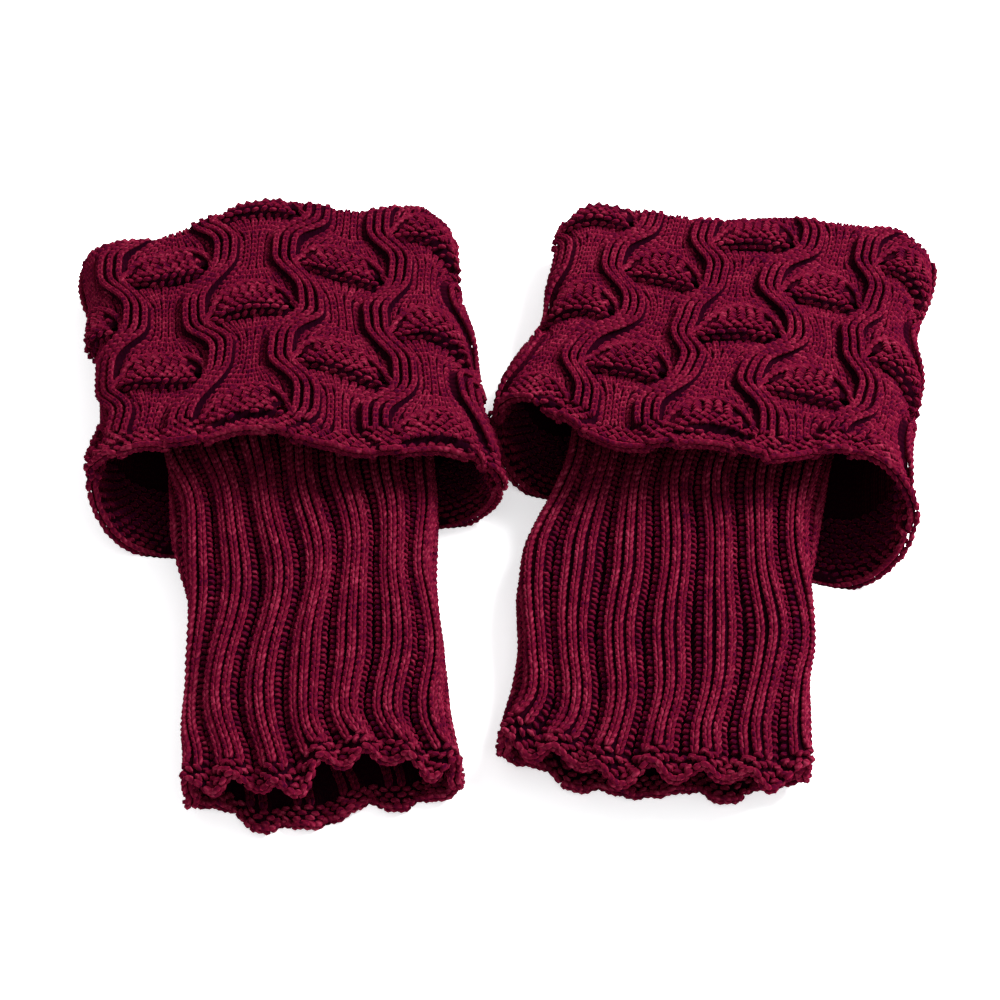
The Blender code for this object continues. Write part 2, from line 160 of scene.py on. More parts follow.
def edge(rows: list[EdgeRow], turn: Array) -> Array:
    """The distance along at which an edge lies, at any turn."""
    turn = np.asarray(turn, float) % 1.0
    return smooth_read([r.turn for r in rows], [r.along * MM for r in rows], turn)


def unit(vectors: Array) -> Array:
    """The vectors at length 1."""
    return vectors / np.maximum(np.linalg.norm(vectors, axis=-1, keepdims=True), 1e-12)


def walk(path: Array) -> Array:
    """How far each point of a path lies along it."""
    return np.concatenate([[0.0], np.cumsum(np.linalg.norm(np.diff(path, axis=0), axis=1))])


def even_turns(count: int, shift: float) -> Array:
    """Even places round the cloth, all moved on by a share of a step."""
    return (np.arange(count) + shift) / count


@dataclass(frozen=True)
class Lattice:
    """Column and row numbers of the cuff's crescents, as sums over the turn and the way down from the fold."""

    column_start: float
    column_turn: float
    column_down: float
    row_start: float
    row_turn: float
    row_down: float

    def numbers(self, turn: Array, down: Array) -> tuple[Array, Array]:
        """The column and row numbers of places.

        Args:
            turn: Their turns, counted from the left side.
            down: Their ways down from the fold.

        Returns:
            The column numbers and the row numbers.
        """
        turn = (turn + QUARTER) % 1.0 - QUARTER
        column = self.column_start + self.column_turn * turn + self.column_down * down
        row = self.row_start + self.row_turn * turn + self.row_down * down
        return column, row

    def place(self, column: Array, row: Array) -> tuple[Array, Array]:
        """The turn and the way down of column and row numbers.

        Args:
            column: Column numbers.
            row: Row numbers.

        Returns:
            The turns, and the ways down from the fold.
        """
        column, row = np.broadcast_arrays(np.asarray(column, float), np.asarray(row, float))
        size = self.column_turn * self.row_down - self.column_down * self.row_turn
        across, down = column - self.column_start, row - self.row_start
        turn = (across * self.row_down - down * self.column_down) / size
        return turn, (down * self.column_turn - across * self.row_turn) / size


@dataclass(frozen=True)
class Sizes:
    """One leg warmer's place on the surface, its sections and its edges."""

    side: str
    place: tuple[float, float]
    heading: float
    tube: list[Section]
    cuff: list[Section]
    tube_hem: list[EdgeRow]
    cuff_hem: list[EdgeRow]
    fold: list[EdgeRow]
    join: float
    ramp: tuple[float, float]
    rib_sway: float
    lattice: Lattice
    seed: int

    def put(self, points: Array) -> Array:
        """Turn and move points from the warmer's own frame to where it lies.

        Args:
            points: Points in its own frame, one to a row.

        Returns:
            The points on the surface.
        """
        cos, sin = math.cos(self.heading), math.sin(self.heading)
        x, y, z = points.T
        return np.stack([x * cos - y * sin + self.place[0], x * sin + y * cos + self.place[1], z], axis=1)


LEFT = Sizes(
    side="left",
    place=(-0.0628, -0.1317),
    heading=math.radians(8.5),
    tube=sections(
        (-12, 1.0, 46.5, 26), (2, 1.2, 46.8, 27), (26, 1.0, 46.0, 27), (45, 3.0, 45.3, 26),
        (64, 3.8, 45.0, 26), (88, 4.5, 45.5, 27), (106, 5.0, 48.5, 28), (133, 5.5, 50.0, 29),
        (165, 5.0, 52.0, 29), (205, 3.0, 60.0, 28), (240, 2.0, 67.0, 27), (280, 2.0, 70.0, 26),
    ),
    cuff=sections(
        (100, 4.0, 70.5, 48), (120, 3.4, 73.6, 49), (140, 2.8, 74.6, 47), (165, 3.2, 72.5, 43),
        (190, 3.5, 73.5, 39), (215, 1.5, 73.5, 36), (240, 2.0, 76.5, 33), (262, 2.0, 78.5, 31),
        (285, 2.0, 78.5, 30),
    ),
    tube_hem=edge_rows(
        (0.00, 6), (0.08, 3), (0.20, -1), (0.30, 5), (0.38, 4), (0.46, -2),
        (0.54, -2), (0.60, -1), (0.75, -4.4), (0.86, -3), (0.94, 6), (1.00, 6),
    ),
    cuff_hem=edge_rows(
        (0.00, 133), (0.05, 137), (0.09, 139), (0.14, 134), (0.22, 130), (0.32, 120), (0.42, 114),
        (0.50, 113), (0.58, 115), (0.75, 116), (0.90, 117), (0.96, 124), (1.00, 133),
    ),
    fold=edge_rows(
        (0.00, 257), (0.06, 259), (0.12, 258), (0.20, 268), (0.27, 271), (0.36, 262),
        (0.44, 262), (0.50, 249), (0.62, 252), (0.75, 257), (0.90, 256), (1.00, 257),
    ),
    join=0.238,
    ramp=(0.086, 0.106),
    rib_sway=0.16,
    lattice=Lattice(-0.24, 9.2, 3.2, 0.33, -1.2, 16.0),
    seed=11,
)

RIGHT = Sizes(
    side="right",
    place=(0.0502, -0.1237),
    heading=math.radians(-11.5),
    tube=sections(
        (-14, -2.0, 52.5, 26), (2, -2.0, 53.2, 27), (27, -2.2, 52.0, 27), (43, -4.5, 51.5, 26),
        (63, -7.5, 53.5, 27), (82, -9.0, 53.0, 27), (100, -7.5, 50.5, 28), (118, -6.0, 49.0, 29),
        (160, -4.0, 51.0, 29), (200, -2.0, 59.0, 28), (235, -1.0, 67.0, 27), (275, -1.0, 70.0, 26),
    ),
    cuff=sections(
        (90, -2.0, 72.5, 49), (112, -2.5, 76.0, 50), (130, -4.6, 77.6, 48), (150, -5.4, 77.2, 45),
        (167, -3.0, 76.0, 42), (185, 0.5, 74.2, 40), (212, -3.0, 73.0, 36), (240, -1.0, 77.0, 33),
        (275, -0.5, 78.5, 31),
    ),
    tube_hem=edge_rows(
        (0.00, 2), (0.08, -5), (0.18, -9), (0.28, -6), (0.36, -3), (0.44, 3),
        (0.50, 8), (0.56, 10), (0.65, 2), (0.75, -3), (0.88, -3), (1.00, 2),
    ),
    cuff_hem=edge_rows(
        (0.00, 131), (0.06, 127), (0.16, 114), (0.25, 112), (0.32, 117), (0.37, 127), (0.41, 127), (0.45, 118),
        (0.50, 109), (0.56, 101), (0.62, 100), (0.70, 116), (0.85, 119), (0.94, 121), (1.00, 131),
    ),
    fold=edge_rows(
        (0.00, 247), (0.06, 253), (0.14, 252), (0.21, 250), (0.27, 256), (0.36, 261),
        (0.44, 262), (0.50, 252), (0.62, 250), (0.75, 252), (0.90, 249), (1.00, 247),
    ),
    join=0.238,
    ramp=(0.078, 0.098),
    rib_sway=-0.22,
    lattice=Lattice(-0.66, 10.1, 0.6, 0.02, -0.7, 17.3),
    seed=23,
)


@dataclass
class Form:
    """The outer shape of a tube, read at any turn and distance along it, and any depth inwards."""

    rows: list[Section]
    lift_over: tuple[float, float] | None = None
    lift: float = 0.0028
    crown: float = 0.12
    corner_points: int = 61
    span_points: int = 121
    turns: int = 400
    step: float = 0.001
    reach: int = 4
    end_room: float = 1.001  # in rings, so that each read has a ring behind it

    def __post_init__(self) -> None:
        """Work the sections out along the tube, and the way inwards at each of their points."""
        along, centre, half_width, height = np.array(self.rows, float).T * MM
        self.first = along[0]
        self.count = int((along[-1] - self.first) / self.step) + 1
        self.rings = np.empty((self.count, self.turns, 2))
        for i in range(self.count):
            at = self.first + i * self.step
            size = [float(smooth_read(along, column, at)) for column in (centre, half_width, height)]
            lift = self.lift * float(ease(*self.lift_over, at)) if self.lift_over else 0.0
            self.rings[i] = self.outline(*size, lift)
        step = np.roll(self.rings, -self.reach, axis=1) - np.roll(self.rings, self.reach, axis=1)
        step = unit(step)
        self.inward = np.stack([step[:, :, 1], -step[:, :, 0]], axis=2)

    def outline(self, centre: float, half_width: float, height: float, lift: float) -> Array:
        """One section, flat below and domed above, as evenly spaced points from the left side over the top.

        Args:
            centre: Its middle across.
            half_width: Half its width.
            height: Its highest point.
            lift: Its underside's height.

        Returns:
            The points, across and up.
        """
        middle = (height - lift) / 2
        quarter = np.linspace(0.0, math.pi / 2, self.corner_points)
        flat = half_width - middle
        across = np.linspace(-1.0, 1.0, self.span_points)[1:-1]
        crown = self.crown * (height - lift)
        corner = np.stack([-half_width + middle * (1 - np.cos(quarter)), np.sin(quarter)], axis=1)
        mirrored = corner[::-1] * (-1, 1)
        halves = []
        for side, reach, dome in ((1, middle - crown, crown), (-1, middle, 0.0)):
            shoulder = np.concatenate([corner * (1, reach), mirrored * (1, reach)])
            bulge = reach + dome * (1 + np.cos(math.pi * across)) / 2
            span = np.stack([across * flat, bulge], axis=1)
            run = np.concatenate([shoulder[: self.corner_points], span, shoulder[self.corner_points :]])
            run = run * (side, side) + (centre, lift + middle)
            walked = walk(run)
            even = np.linspace(0.0, walked[-1], self.turns // 2 + 1)[:-1]
            halves.append(np.stack([np.interp(even, walked, run[:, k]) for k in (0, 1)], axis=1))
        return np.concatenate(halves)

    def girth(self, along: float) -> float:
        """The length round the tube at a distance along."""
        ring = self.rings[int((along - self.first) / self.step)]
        return float(np.linalg.norm(ring - np.roll(ring, 1, axis=0), axis=1).sum())

    def at(self, turn: Array, along: Array, depth: Array) -> Array:
        """Points at turns and distances along, moved inwards by a depth.

        Args:
            turn: Shares of the girth.
            along: Distances along the tube.
            depth: How far inwards.

        Returns:
            The points.
        """
        turn, along, depth = np.broadcast_arrays(np.asarray(turn, float) % 1.0, along, depth)
        row = np.clip((along - self.first) / self.step, 0, self.count - self.end_room)
        i = row.astype(int)
        col = turn * self.turns
        j = col.astype(int) % self.turns
        f, g = (row - i)[..., None], (col - np.floor(col))[..., None]
        found = []
        for values in (self.rings, self.inward):
            near = values[i, j] * (1 - g) + values[i, (j + 1) % self.turns] * g
            far = values[i + 1, j] * (1 - g) + values[i + 1, (j + 1) % self.turns] * g
            found.append(near * (1 - f) + far * f)
        section = found[0] + found[1] * depth[..., None]
        return np.stack([section[..., 0], along, section[..., 1]], axis=-1)


@dataclass
class Cloth:
    """A knitted surface, read at a place round it and a place down it."""

    sizes: Sizes
    around_probe: float = 0.0015
    down_probe: float = 0.0006
    handed: float = 1.0  # 1 where the way down crossed with the way round faces out, or -1

    def point(self, around: Array, down: Array, out: Array = 0.0) -> Array:
        """Points on the cloth, moved outwards."""
        raise NotImplementedError

    def frames(self, around: Array, down: Array, out: Array = 0.0) -> tuple[Array, Array]:
        """Points on the cloth and the ways outwards there.

        Args:
            around: Places round the cloth.
            down: Places down it.
            out: How far outwards.

        Returns:
            The points and the unit normals.
        """
        at = self.point(around, down, out)
        side, drop = self.around_probe, self.down_probe
        over = self.point(around + side, down, out) - self.point(around - side, down, out)
        along = self.point(around, down + drop, out) - self.point(around, down - drop, out)
        return at, unit(np.cross(along, over)) * self.handed


@dataclass
class RibTube(Cloth):
    """The ribbed leg tube. Places round it are shares of the stitches and places down it are distances."""

    around_probe: float = 0.002
    handed: float = -1.0
    measured_at: float = 0.1
    ribs_on_top: int = 7
    rib_rise: float = 0.0062
    rib_roundness: float = 2.1
    ribs_round: tuple[float, float] = (-0.35, 0.25)
    ribs_fade: tuple[float, float] = (0.150, 0.200)
    sway_turns: float = 1.5
    flare: float = 0.0020
    flare_length: float = 0.015
    scallop: float = 0.0032
    lobe_roundness: float = 0.2
    hem_furrow: float = 0.58
    stray: tuple[float, float] = (0.17, 0.06)
    stray_length: tuple[float, float] = (0.105, 0.058)
    stray_count: tuple[int, int] = (1, -2)
    shallow: float = 0.25
    shallow_count: int = 2
    shallow_length: float = 0.13
    ruffle: float = 0.0042
    ruffle_length: float = 0.020
    fold_depth: float = 0.0038
    blend: tuple[float, float] = (0.045, 0.0075)
    sink: float = 0.0009
    uneven: float = 0.0015
    uneven_count: tuple[int, int] = (5, 9)

    def __post_init__(self) -> None:
        """Make the tube's form and the cuff's, which it meets at its back end."""
        self.form = Form(self.sizes.tube, self.sizes.ramp)
        self.cuff_form = Form(self.sizes.cuff)
        self.girth = self.form.girth(self.measured_at)

    @property
    def ribs(self) -> int:
        """How many ribs the stitches would make all round."""
        return 2 * self.ribs_on_top

    @property
    def pitch(self) -> float:
        """A rib's share of the stitches."""
        return 1 / self.ribs

    def hem(self, stitch: Array) -> Array:
        """The hem line without its scallops."""
        return edge(self.sizes.tube_hem, stitch)

    def point(self, around: Array, down: Array, out: Array = 0.0) -> Array:
        """Points on the tube, moved outwards.

        Args:
            around: Shares of its stitches.
            down: Distances from its hem.
            out: How far outwards.

        Returns:
            The points.
        """
        around, down = np.broadcast_arrays(np.asarray(around, float), np.asarray(down, float))
        hem = self.hem(around)
        share = down / (self.sizes.join - hem)
        waves = [
            size * np.sin(WHOLE_TURN * (down / length + count * around) + self.sizes.seed)
            for size, length, count in zip(self.stray, self.stray_length, self.stray_count)
        ]
        sway = self.sizes.rib_sway * np.sin(self.sway_turns * WHOLE_TURN * share)
        turn = around - (sway + sum(waves) * ease(0.0, self.ruffle_length, down)) * self.pitch
        along = hem + down
        height = np.sin(WHOLE_TURN * turn)
        ribbed = ease(*self.ribs_round, height) * (1 - ease(*self.ribs_fade, along))
        phase = around / self.pitch
        valley = (1 + np.cos(WHOLE_TURN * phase)) / 2
        aside = np.abs(2 * (phase % 1.0) - 1) ** self.rib_roundness
        furrow = 1 - (1 - aside) ** (1 / self.rib_roundness)
        near_hem = 1 - ease(0.0, self.flare_length, down)
        slow, fast = self.uneven_count
        wobble = np.sin(WHOLE_TURN * slow * around + self.sizes.seed) + np.sin(WHOLE_TURN * fast * around)
        lobes = np.cos(WHOLE_TURN * phase) - self.lobe_roundness * np.cos(2 * WHOLE_TURN * phase)
        along = along - near_hem * (self.scallop / 2 * lobes - self.uneven * wobble)
        spread = self.shallow_count * around + down / self.shallow_length
        furrow = furrow * (1 - self.shallow * np.sin(WHOLE_TURN * spread) ** 2)
        crest = 1 - ribbed * (furrow * (1 - near_hem) + self.hem_furrow * valley * near_hem)
        ruffled = ease(0.0, -UNDERNEATH, -height) * (1 - ease(0.0, self.ruffle_length, down))
        depth = self.sink * ease(UNDERNEATH, 0.0, height) + self.rib_rise * (1 - crest)
        depth = depth + self.ruffle * ruffled * valley
        depth = depth - self.flare * ribbed * near_hem * crest - out
        own = self.form.at(turn, along, depth)
        joined = self.cuff_form.at(turn, along, depth + self.fold_depth)
        back, done = self.blend
        at_top = ease(self.sizes.join - back, self.sizes.join - done, along)[..., None]
        return own * (1 - at_top) + joined * at_top


@dataclass
class LaceCuff(Cloth):
    """The lace cuff, folded down over the tube. Places down it are distances from the fold."""

    measured_at: float = 0.2
    fold_radius: float = 0.0030
    fold_relief: float = 1.3  # the bend round the fold at which the relief has gone
    scallop: float = 0.003
    scallop_round: tuple[float, float] = (-0.30, 0.30)
    lace_round: tuple[float, float] = (-0.25, 0.10)
    crescent_width: float = 0.94
    crescent_height: float = 0.016
    crescent_middle: float = 0.45
    crescent_rise: float = 0.0032
    crescent_belly: float = 1.7
    crescent_taper: float = 0.60
    lip_arch: float = 0.0018
    undercut: float = 0.0016
    groove: float = 0.0010
    groove_length: float = 0.007
    sway: float = 0.165
    sway_third: float = 0.12
    chain_gap: float = 0.10
    chains_rise: float = 0.0014
    chains_side: tuple[float, float] = (0.12, 0.20)
    fan_dish: float = 0.0006
    gutter: float = 0.0010
    gutter_at: float = 0.185
    gutter_width: float = 0.035
    sink: float = 0.0009
    roll: float = 0.0024
    roll_length: float = 0.008
    eyelet_radius: float = 0.0024
    eyelet_share: float = 0.425
    eyelet_up: float = 0.0044
    eyelet_room: tuple[float, float] = (0.004, 0.012)
    eyelet_turns: tuple[float, float] = (-0.02, 0.52)
    gap_share: float = 0.360
    gap_up: float = 0.0098
    pit_reach: float = 0.0032
    pit_power: int = 4
    columns: range = range(-2, 7)
    rows: range = range(-1, 5)

    def __post_init__(self) -> None:
        """Make the cuff's form and find its eyelets."""
        self.form = Form(self.sizes.cuff)
        self.girth = self.form.girth(self.measured_at)
        self.column_width = self.girth / self.sizes.lattice.column_turn
        self.row_length = 1 / self.sizes.lattice.row_down
        self.half_crescent = self.crescent_width * self.column_width / 2
        self.eyelet = (self.eyelet_share * self.column_width, self.eyelet_up)
        self.gap = (self.gap_share * self.column_width, self.gap_up)
        self.eyelet_points = self.find_eyelets()

    def fold(self, turn: Array) -> Array:
        """The distance along at which the cuff folds over."""
        return edge(self.sizes.fold, turn)

    def length(self, turn: Array) -> Array:
        """The way down from the fold to the scalloped hem.

        Args:
            turn: Shares of the girth.

        Returns:
            The lengths there.
        """
        top = self.fold(turn)
        hem = edge(self.sizes.cuff_hem, turn)
        column = self.sizes.lattice.numbers(turn, top - hem)[0]
        scalloped = ease(*self.scallop_round, np.sin(WHOLE_TURN * np.asarray(turn)))
        return top - hem - self.scallop * scalloped * np.cos(math.pi * column)

    def boundary(self, number: Array, row: Array) -> Array:
        """The column number of the middle raised chain between two columns, which sways clear of crescents.

        Args:
            number: The column on its left.
            row: Row numbers.

        Returns:
            The column numbers.
        """
        angle = WHOLE_TURN * (row - (number % 2) / 2)
        swing = (np.cos(angle) - self.sway_third * np.cos(3 * angle)) / (1 - self.sway_third)
        return number + 0.5 + self.sway * swing

    def off_chains(self, column: Array, row: Array) -> Array:
        """How many columns places lie from the nearest middle chain.

        Args:
            column: Their column numbers.
            row: Their row numbers.

        Returns:
            The distances.
        """
        first = np.floor(column - 0.5)
        left, right = self.boundary(first, row), self.boundary(first + 1, row)
        return np.minimum(np.abs(column - left), np.abs(column - right))

    def local(self, turn: Array, down: Array) -> tuple[Array, Array]:
        """How far places lie across from the nearest crescent's middle and down from its arched lip.

        Args:
            turn: Their turns.
            down: Their ways down from the fold.

        Returns:
            The distances across and down.
        """
        column, row = self.sizes.lattice.numbers(turn, down)
        nearest = np.round(column)
        level = row - (nearest % 2) / 2
        x = (column - nearest) * self.column_width
        y = (level - np.round(level)) * self.row_length - self.crescent_height * self.crescent_middle
        return x, y - self.lip_arch * (x / self.half_crescent) ** 2

    def spot(self, column: int, row: int, x: Array, y: Array) -> tuple[Array, Array]:
        """Find places from where they lie on a crescent.

        Args:
            column: The crescent's column.
            row: Its row.
            x: Distances across from its middle.
            y: Distances down from its lip.

        Returns:
            The turns, and the ways down from the fold.
        """
        y = y + self.lip_arch * (x / self.half_crescent) ** 2 + self.crescent_height * self.crescent_middle
        level = row + (column % 2) / 2 + y / self.row_length
        return self.sizes.lattice.place(column + x / self.column_width, level)

    def away(self, x: Array, y: Array, pit: tuple[float, float]) -> Array:
        """How far a place in a crescent's frame lies from a pit that is at both of the crescent's ends."""
        across, up = pit
        return np.hypot(np.abs(x) - across, y + up)

    def relief(self, turn: Array, down: Array) -> Array:
        """How far the cloth stands out: crescents, their undercuts, the chains and the dished fans.

        Args:
            turn: Shares of the girth.
            down: Ways down from the fold.

        Returns:
            The heights there.
        """
        column, row = self.sizes.lattice.numbers(turn, down)
        x, below = self.local(turn, down)
        off = x / self.half_crescent
        arch = self.crescent_height * np.sqrt(np.clip(1 - off * off, 0.0, 1.0))
        body = np.clip(1 + below / np.maximum(arch, MM), 0.0, 1.0) ** (1 / self.crescent_belly)
        drop = 1 - ease(0.0, self.undercut, below)
        inside = (arch > MM) * np.where(below <= 0, body, drop)
        trough = ease(0.0, self.undercut, below) * (1 - ease(self.undercut, self.groove_length, below))
        trough = trough * np.clip(1 - off * off, 0.0, 1.0)
        near = self.off_chains(column, row)
        chains = 1 - ease(*self.chains_side, near)
        dip = np.exp(-(((near - self.gutter_at) / self.gutter_width) ** 2))
        crescent = self.crescent_rise * inside * (1 - self.crescent_taper * np.clip(off * off, 0.0, 1.0))
        for pit in (self.eyelet, self.gap):
            near_pit = np.exp(-((self.away(x, below, pit) / self.pit_reach) ** self.pit_power))
            crescent = crescent * (1 - near_pit)
        rise = crescent - self.groove * trough - self.gutter * (1 - inside) * dip
        upper = ease(*self.lace_round, np.sin(WHOLE_TURN * np.asarray(turn)))
        return upper * (rise + self.chains_rise * chains - self.fan_dish * (1 - chains) * (1 - inside))

    def point(self, around: Array, down: Array, out: Array = 0.0) -> Array:
        """Points on the cuff, moved outwards.

        Args:
            around: Turns.
            down: Ways down from the fold, or round it and along the lip where they are negative.
            out: How far outwards.

        Returns:
            The points.
        """
        around, down, out = np.broadcast_arrays(np.asarray(around, float), np.asarray(down, float), out)
        bend = np.clip(-down / self.fold_radius, 0.0, math.pi)
        lip = np.maximum(-down - math.pi * self.fold_radius, 0.0)
        height = np.sin(WHOLE_TURN * around)
        relief = self.relief(around, down) * (1 - ease(0.0, self.fold_relief, bend))
        rolled = self.roll * (1 - ease(0.0, self.roll_length, self.length(around) - down))
        out = out + relief + rolled - self.sink * ease(UNDERNEATH, 0.0, height)
        radius = self.fold_radius + out
        depth = self.fold_radius - radius * np.cos(bend)
        along = self.fold(around) - np.maximum(down, 0.0) - lip
        found = self.form.at(around, along, depth)
        found[..., 1] += radius * np.sin(bend)
        return found

    def find_eyelets(self) -> Array:
        """Find the eyelets on top, at both ends of each crescent that has room for them.

        Returns:
            Their middles, one to a row.
        """
        across, up = self.eyelet
        below_fold, above_hem = self.eyelet_room
        left, right = self.eyelet_turns
        found = []
        for column in self.columns:
            for row in self.rows:
                for end in (-1, 1):
                    turn, down = self.spot(column, row, np.array(end * across), np.array(-up))
                    inside = below_fold < down < float(self.length(turn)) - above_hem
                    if left < turn < right and inside:
                        found.append(self.point(turn, down))
        return np.array(found)


@dataclass
class YarnMesh:
    """Many short lengths of yarn, collected and then joined into one mesh."""

    sizes: Sizes
    seed: int
    seed_step: int = 100
    sides: int = 5
    rings: tuple[float, ...] = (0.14, 0.5, 0.86)
    ring_sizes: tuple[float, ...] = (0.84, 1.0, 0.84)
    spread: float = 0.08
    floor: float = 0.0001
    points: list[Array] = field(default_factory=list)
    marks: list[Array] = field(default_factory=list)

    def __post_init__(self) -> None:
        """Start the seeded random numbers."""
        self.random = np.random.default_rng(self.sizes.seed * self.seed_step + self.seed)

    def lay(
        self, start: Array, bow: Array, end: Array, outward: Array, width: float, depth: float, shade: float = 0.0
    ) -> None:
        """Add lengths of yarn, each pointed at its two ends and bowed through a middle point.

        Args:
            start: Where each starts.
            bow: The point that each passes half-way.
            end: Where each ends.
            outward: The cloth's outward way at each.
            width: Half the yarn's width across the cloth.
            depth: Half its thickness.
            shade: Painted shade: how much darker its tone is painted, for yarn that lies deep.
        """
        count = len(start)
        if not count:
            return
        pull = 2 * bow - (start + end) / 2
        size = 1 + self.spread * self.random.uniform(-1, 1, (count, 1))
        # each length's random tone, less its painted shade
        tone = self.random.uniform(0, 1, count) - shade
        turns = -math.pi / 2 + WHOLE_TURN * np.arange(self.sides) / self.sides
        length = np.linalg.norm(bow - start, axis=1) + np.linalg.norm(end - bow, axis=1)
        rows, marks = [start[:, None]], [self.mark(0.0, np.zeros(1), length, tone)]
        for share, swell in zip(self.rings, self.ring_sizes):
            middle = (1 - share) ** 2 * start + 2 * share * (1 - share) * pull + share**2 * end
            tangent = unit((1 - share) * (pull - start) + share * (end - pull))
            across = unit(np.cross(tangent, outward))
            up = np.cross(across, tangent)
            ring = width * swell * size[:, None] * np.cos(turns)[None, :, None] * across[:, None]
            ring = ring + depth * swell * size[:, None] * np.sin(turns)[None, :, None] * up[:, None]
            rows.append(middle[:, None] + ring)
            marks.append(self.mark(share, turns, length, tone))
        rows.append(end[:, None])
        marks.append(self.mark(1.0, np.zeros(1), length, tone))
        self.points.append(np.concatenate(rows, axis=1))
        self.marks.append(np.concatenate(marks, axis=1))

    def mark(self, share: float, turns: Array, length: Array, tone: Array) -> Array:
        """What the finish reads at a ring's points.

        Args:
            share: How far along its yarn the ring lies.
            turns: The points' angles round the yarn.
            length: Each yarn's length.
            tone: Each yarn's tone.

        Returns:
            The distance along in millimetres, the share round the yarn and the tone with its painted shade, for each
            point.
        """
        made = np.empty((len(tone), len(turns), 3))
        made[..., 0] = (share * length / MM)[:, None]
        made[..., 1] = turns[None] / WHOLE_TURN + QUARTER
        made[..., 2] = tone[:, None]
        return made

    def faces(self) -> tuple[Array, Array]:
        """The faces of one length of yarn, end triangles first.

        Returns:
            The corner numbers of all its faces, and how many corners each has.
        """
        k = np.arange(self.sides)
        n = (k + 1) % self.sides
        first = np.stack([np.zeros(self.sides, int), 1 + k, 1 + n], axis=1)
        corners, totals = [first.ravel()], [np.full(self.sides, 3)]
        for ring in range(len(self.rings) - 1):
            low, high = 1 + ring * self.sides, 1 + (ring + 1) * self.sides
            corners.append(np.stack([low + k, high + k, high + n, low + n], axis=1).ravel())
            totals.append(np.full(self.sides, 4))
        last = 1 + (len(self.rings) - 1) * self.sides
        tip = np.full(self.sides, 1 + len(self.rings) * self.sides)
        corners.append(np.stack([tip, last + n, last + k], axis=1).ravel())
        totals.append(np.full(self.sides, 3))
        return np.concatenate(corners), np.concatenate(totals)

    def build(self, name: str, material: bpy.types.Material) -> bpy.types.Object:
        """Make the object, where its warmer lies.

        Args:
            name: Its name.
            material: Its finish.

        Returns:
            The object.
        """
        points = np.concatenate(self.points)
        count, each = points.shape[:2]
        placed = self.sizes.put(points.reshape(-1, 3))
        placed[:, 2] = np.maximum(placed[:, 2], self.floor)
        corners, totals = self.faces()
        loops = (corners[None] + each * np.arange(count)[:, None]).ravel()
        made = mesh_object(name, placed, loops, np.tile(totals, count), material)
        write_layer(made, "strand", np.concatenate(self.marks))
        return made


def mesh_object(
    name: str, points: Array, loops: Array, totals: Array, material: bpy.types.Material
) -> bpy.types.Object:
    """Make a smooth mesh object from arrays.

    Args:
        name: Its name.
        points: The vertices.
        loops: The vertex numbers of all the faces' corners, one after another.
        totals: How many corners each face has.
        material: Its finish.

    Returns:
        The object, in the scene.
    """
    mesh = bpy.data.meshes.new(name)
    mesh.vertices.add(len(points))
    mesh.vertices.foreach_set("co", points.astype(np.float32).ravel())
    mesh.loops.add(len(loops))
    mesh.loops.foreach_set("vertex_index", loops.astype(np.int32))
    starts = np.concatenate([[0], np.cumsum(totals)[:-1]])
    mesh.polygons.add(len(totals))
    mesh.polygons.foreach_set("loop_start", starts.astype(np.int32))
    mesh.update(calc_edges=True)
    mesh.validate()
    mesh.shade_smooth()
    mesh.materials.append(material)
    made = bpy.data.objects.new(name, mesh)
    bpy.context.scene.collection.objects.link(made)
    return made


def write_layer(made: bpy.types.Object, name: str, values: Array) -> None:
    """Keep three values at each point of an object's mesh, under a name that its finish reads."""
    layer = made.data.attributes.new(name, "FLOAT_VECTOR", "POINT")
    layer.data.foreach_set("vector", values.reshape(-1, 3).astype(np.float32).ravel())


class Socket:
    """A shader value that takes part in Python expressions, each of which adds a Math node."""

    def __init__(self, graph: "Graph", socket: bpy.types.NodeSocket) -> None:
        """Keep the socket and the graph that it is in."""
        self.graph = graph
        self.socket = socket

    def math(self, operation: str, first: Any, second: Any = 0.0) -> "Socket":
        """A Math node on two values or sockets."""
        return self.graph.node("ShaderNodeMath", {"operation": operation}, {0: first, 1: second})

    def __add__(self, other: Any) -> "Socket":
        """This plus other."""
        return self.math("ADD", self, other)

    def __radd__(self, other: Any) -> "Socket":
        """Other plus this."""
        return self.math("ADD", other, self)

    def __sub__(self, other: Any) -> "Socket":
        """This less other."""
        return self.math("SUBTRACT", self, other)

    def __rsub__(self, other: Any) -> "Socket":
        """Other less this."""
        return self.math("SUBTRACT", other, self)

    def __mul__(self, other: Any) -> "Socket":
        """This times other."""
        return self.math("MULTIPLY", self, other)

    def __rmul__(self, other: Any) -> "Socket":
        """Other times this."""
        return self.math("MULTIPLY", other, self)

    def wave(self) -> "Socket":
        """The sine of this, in whole turns."""
        return self.math("SINE", self * WHOLE_TURN)


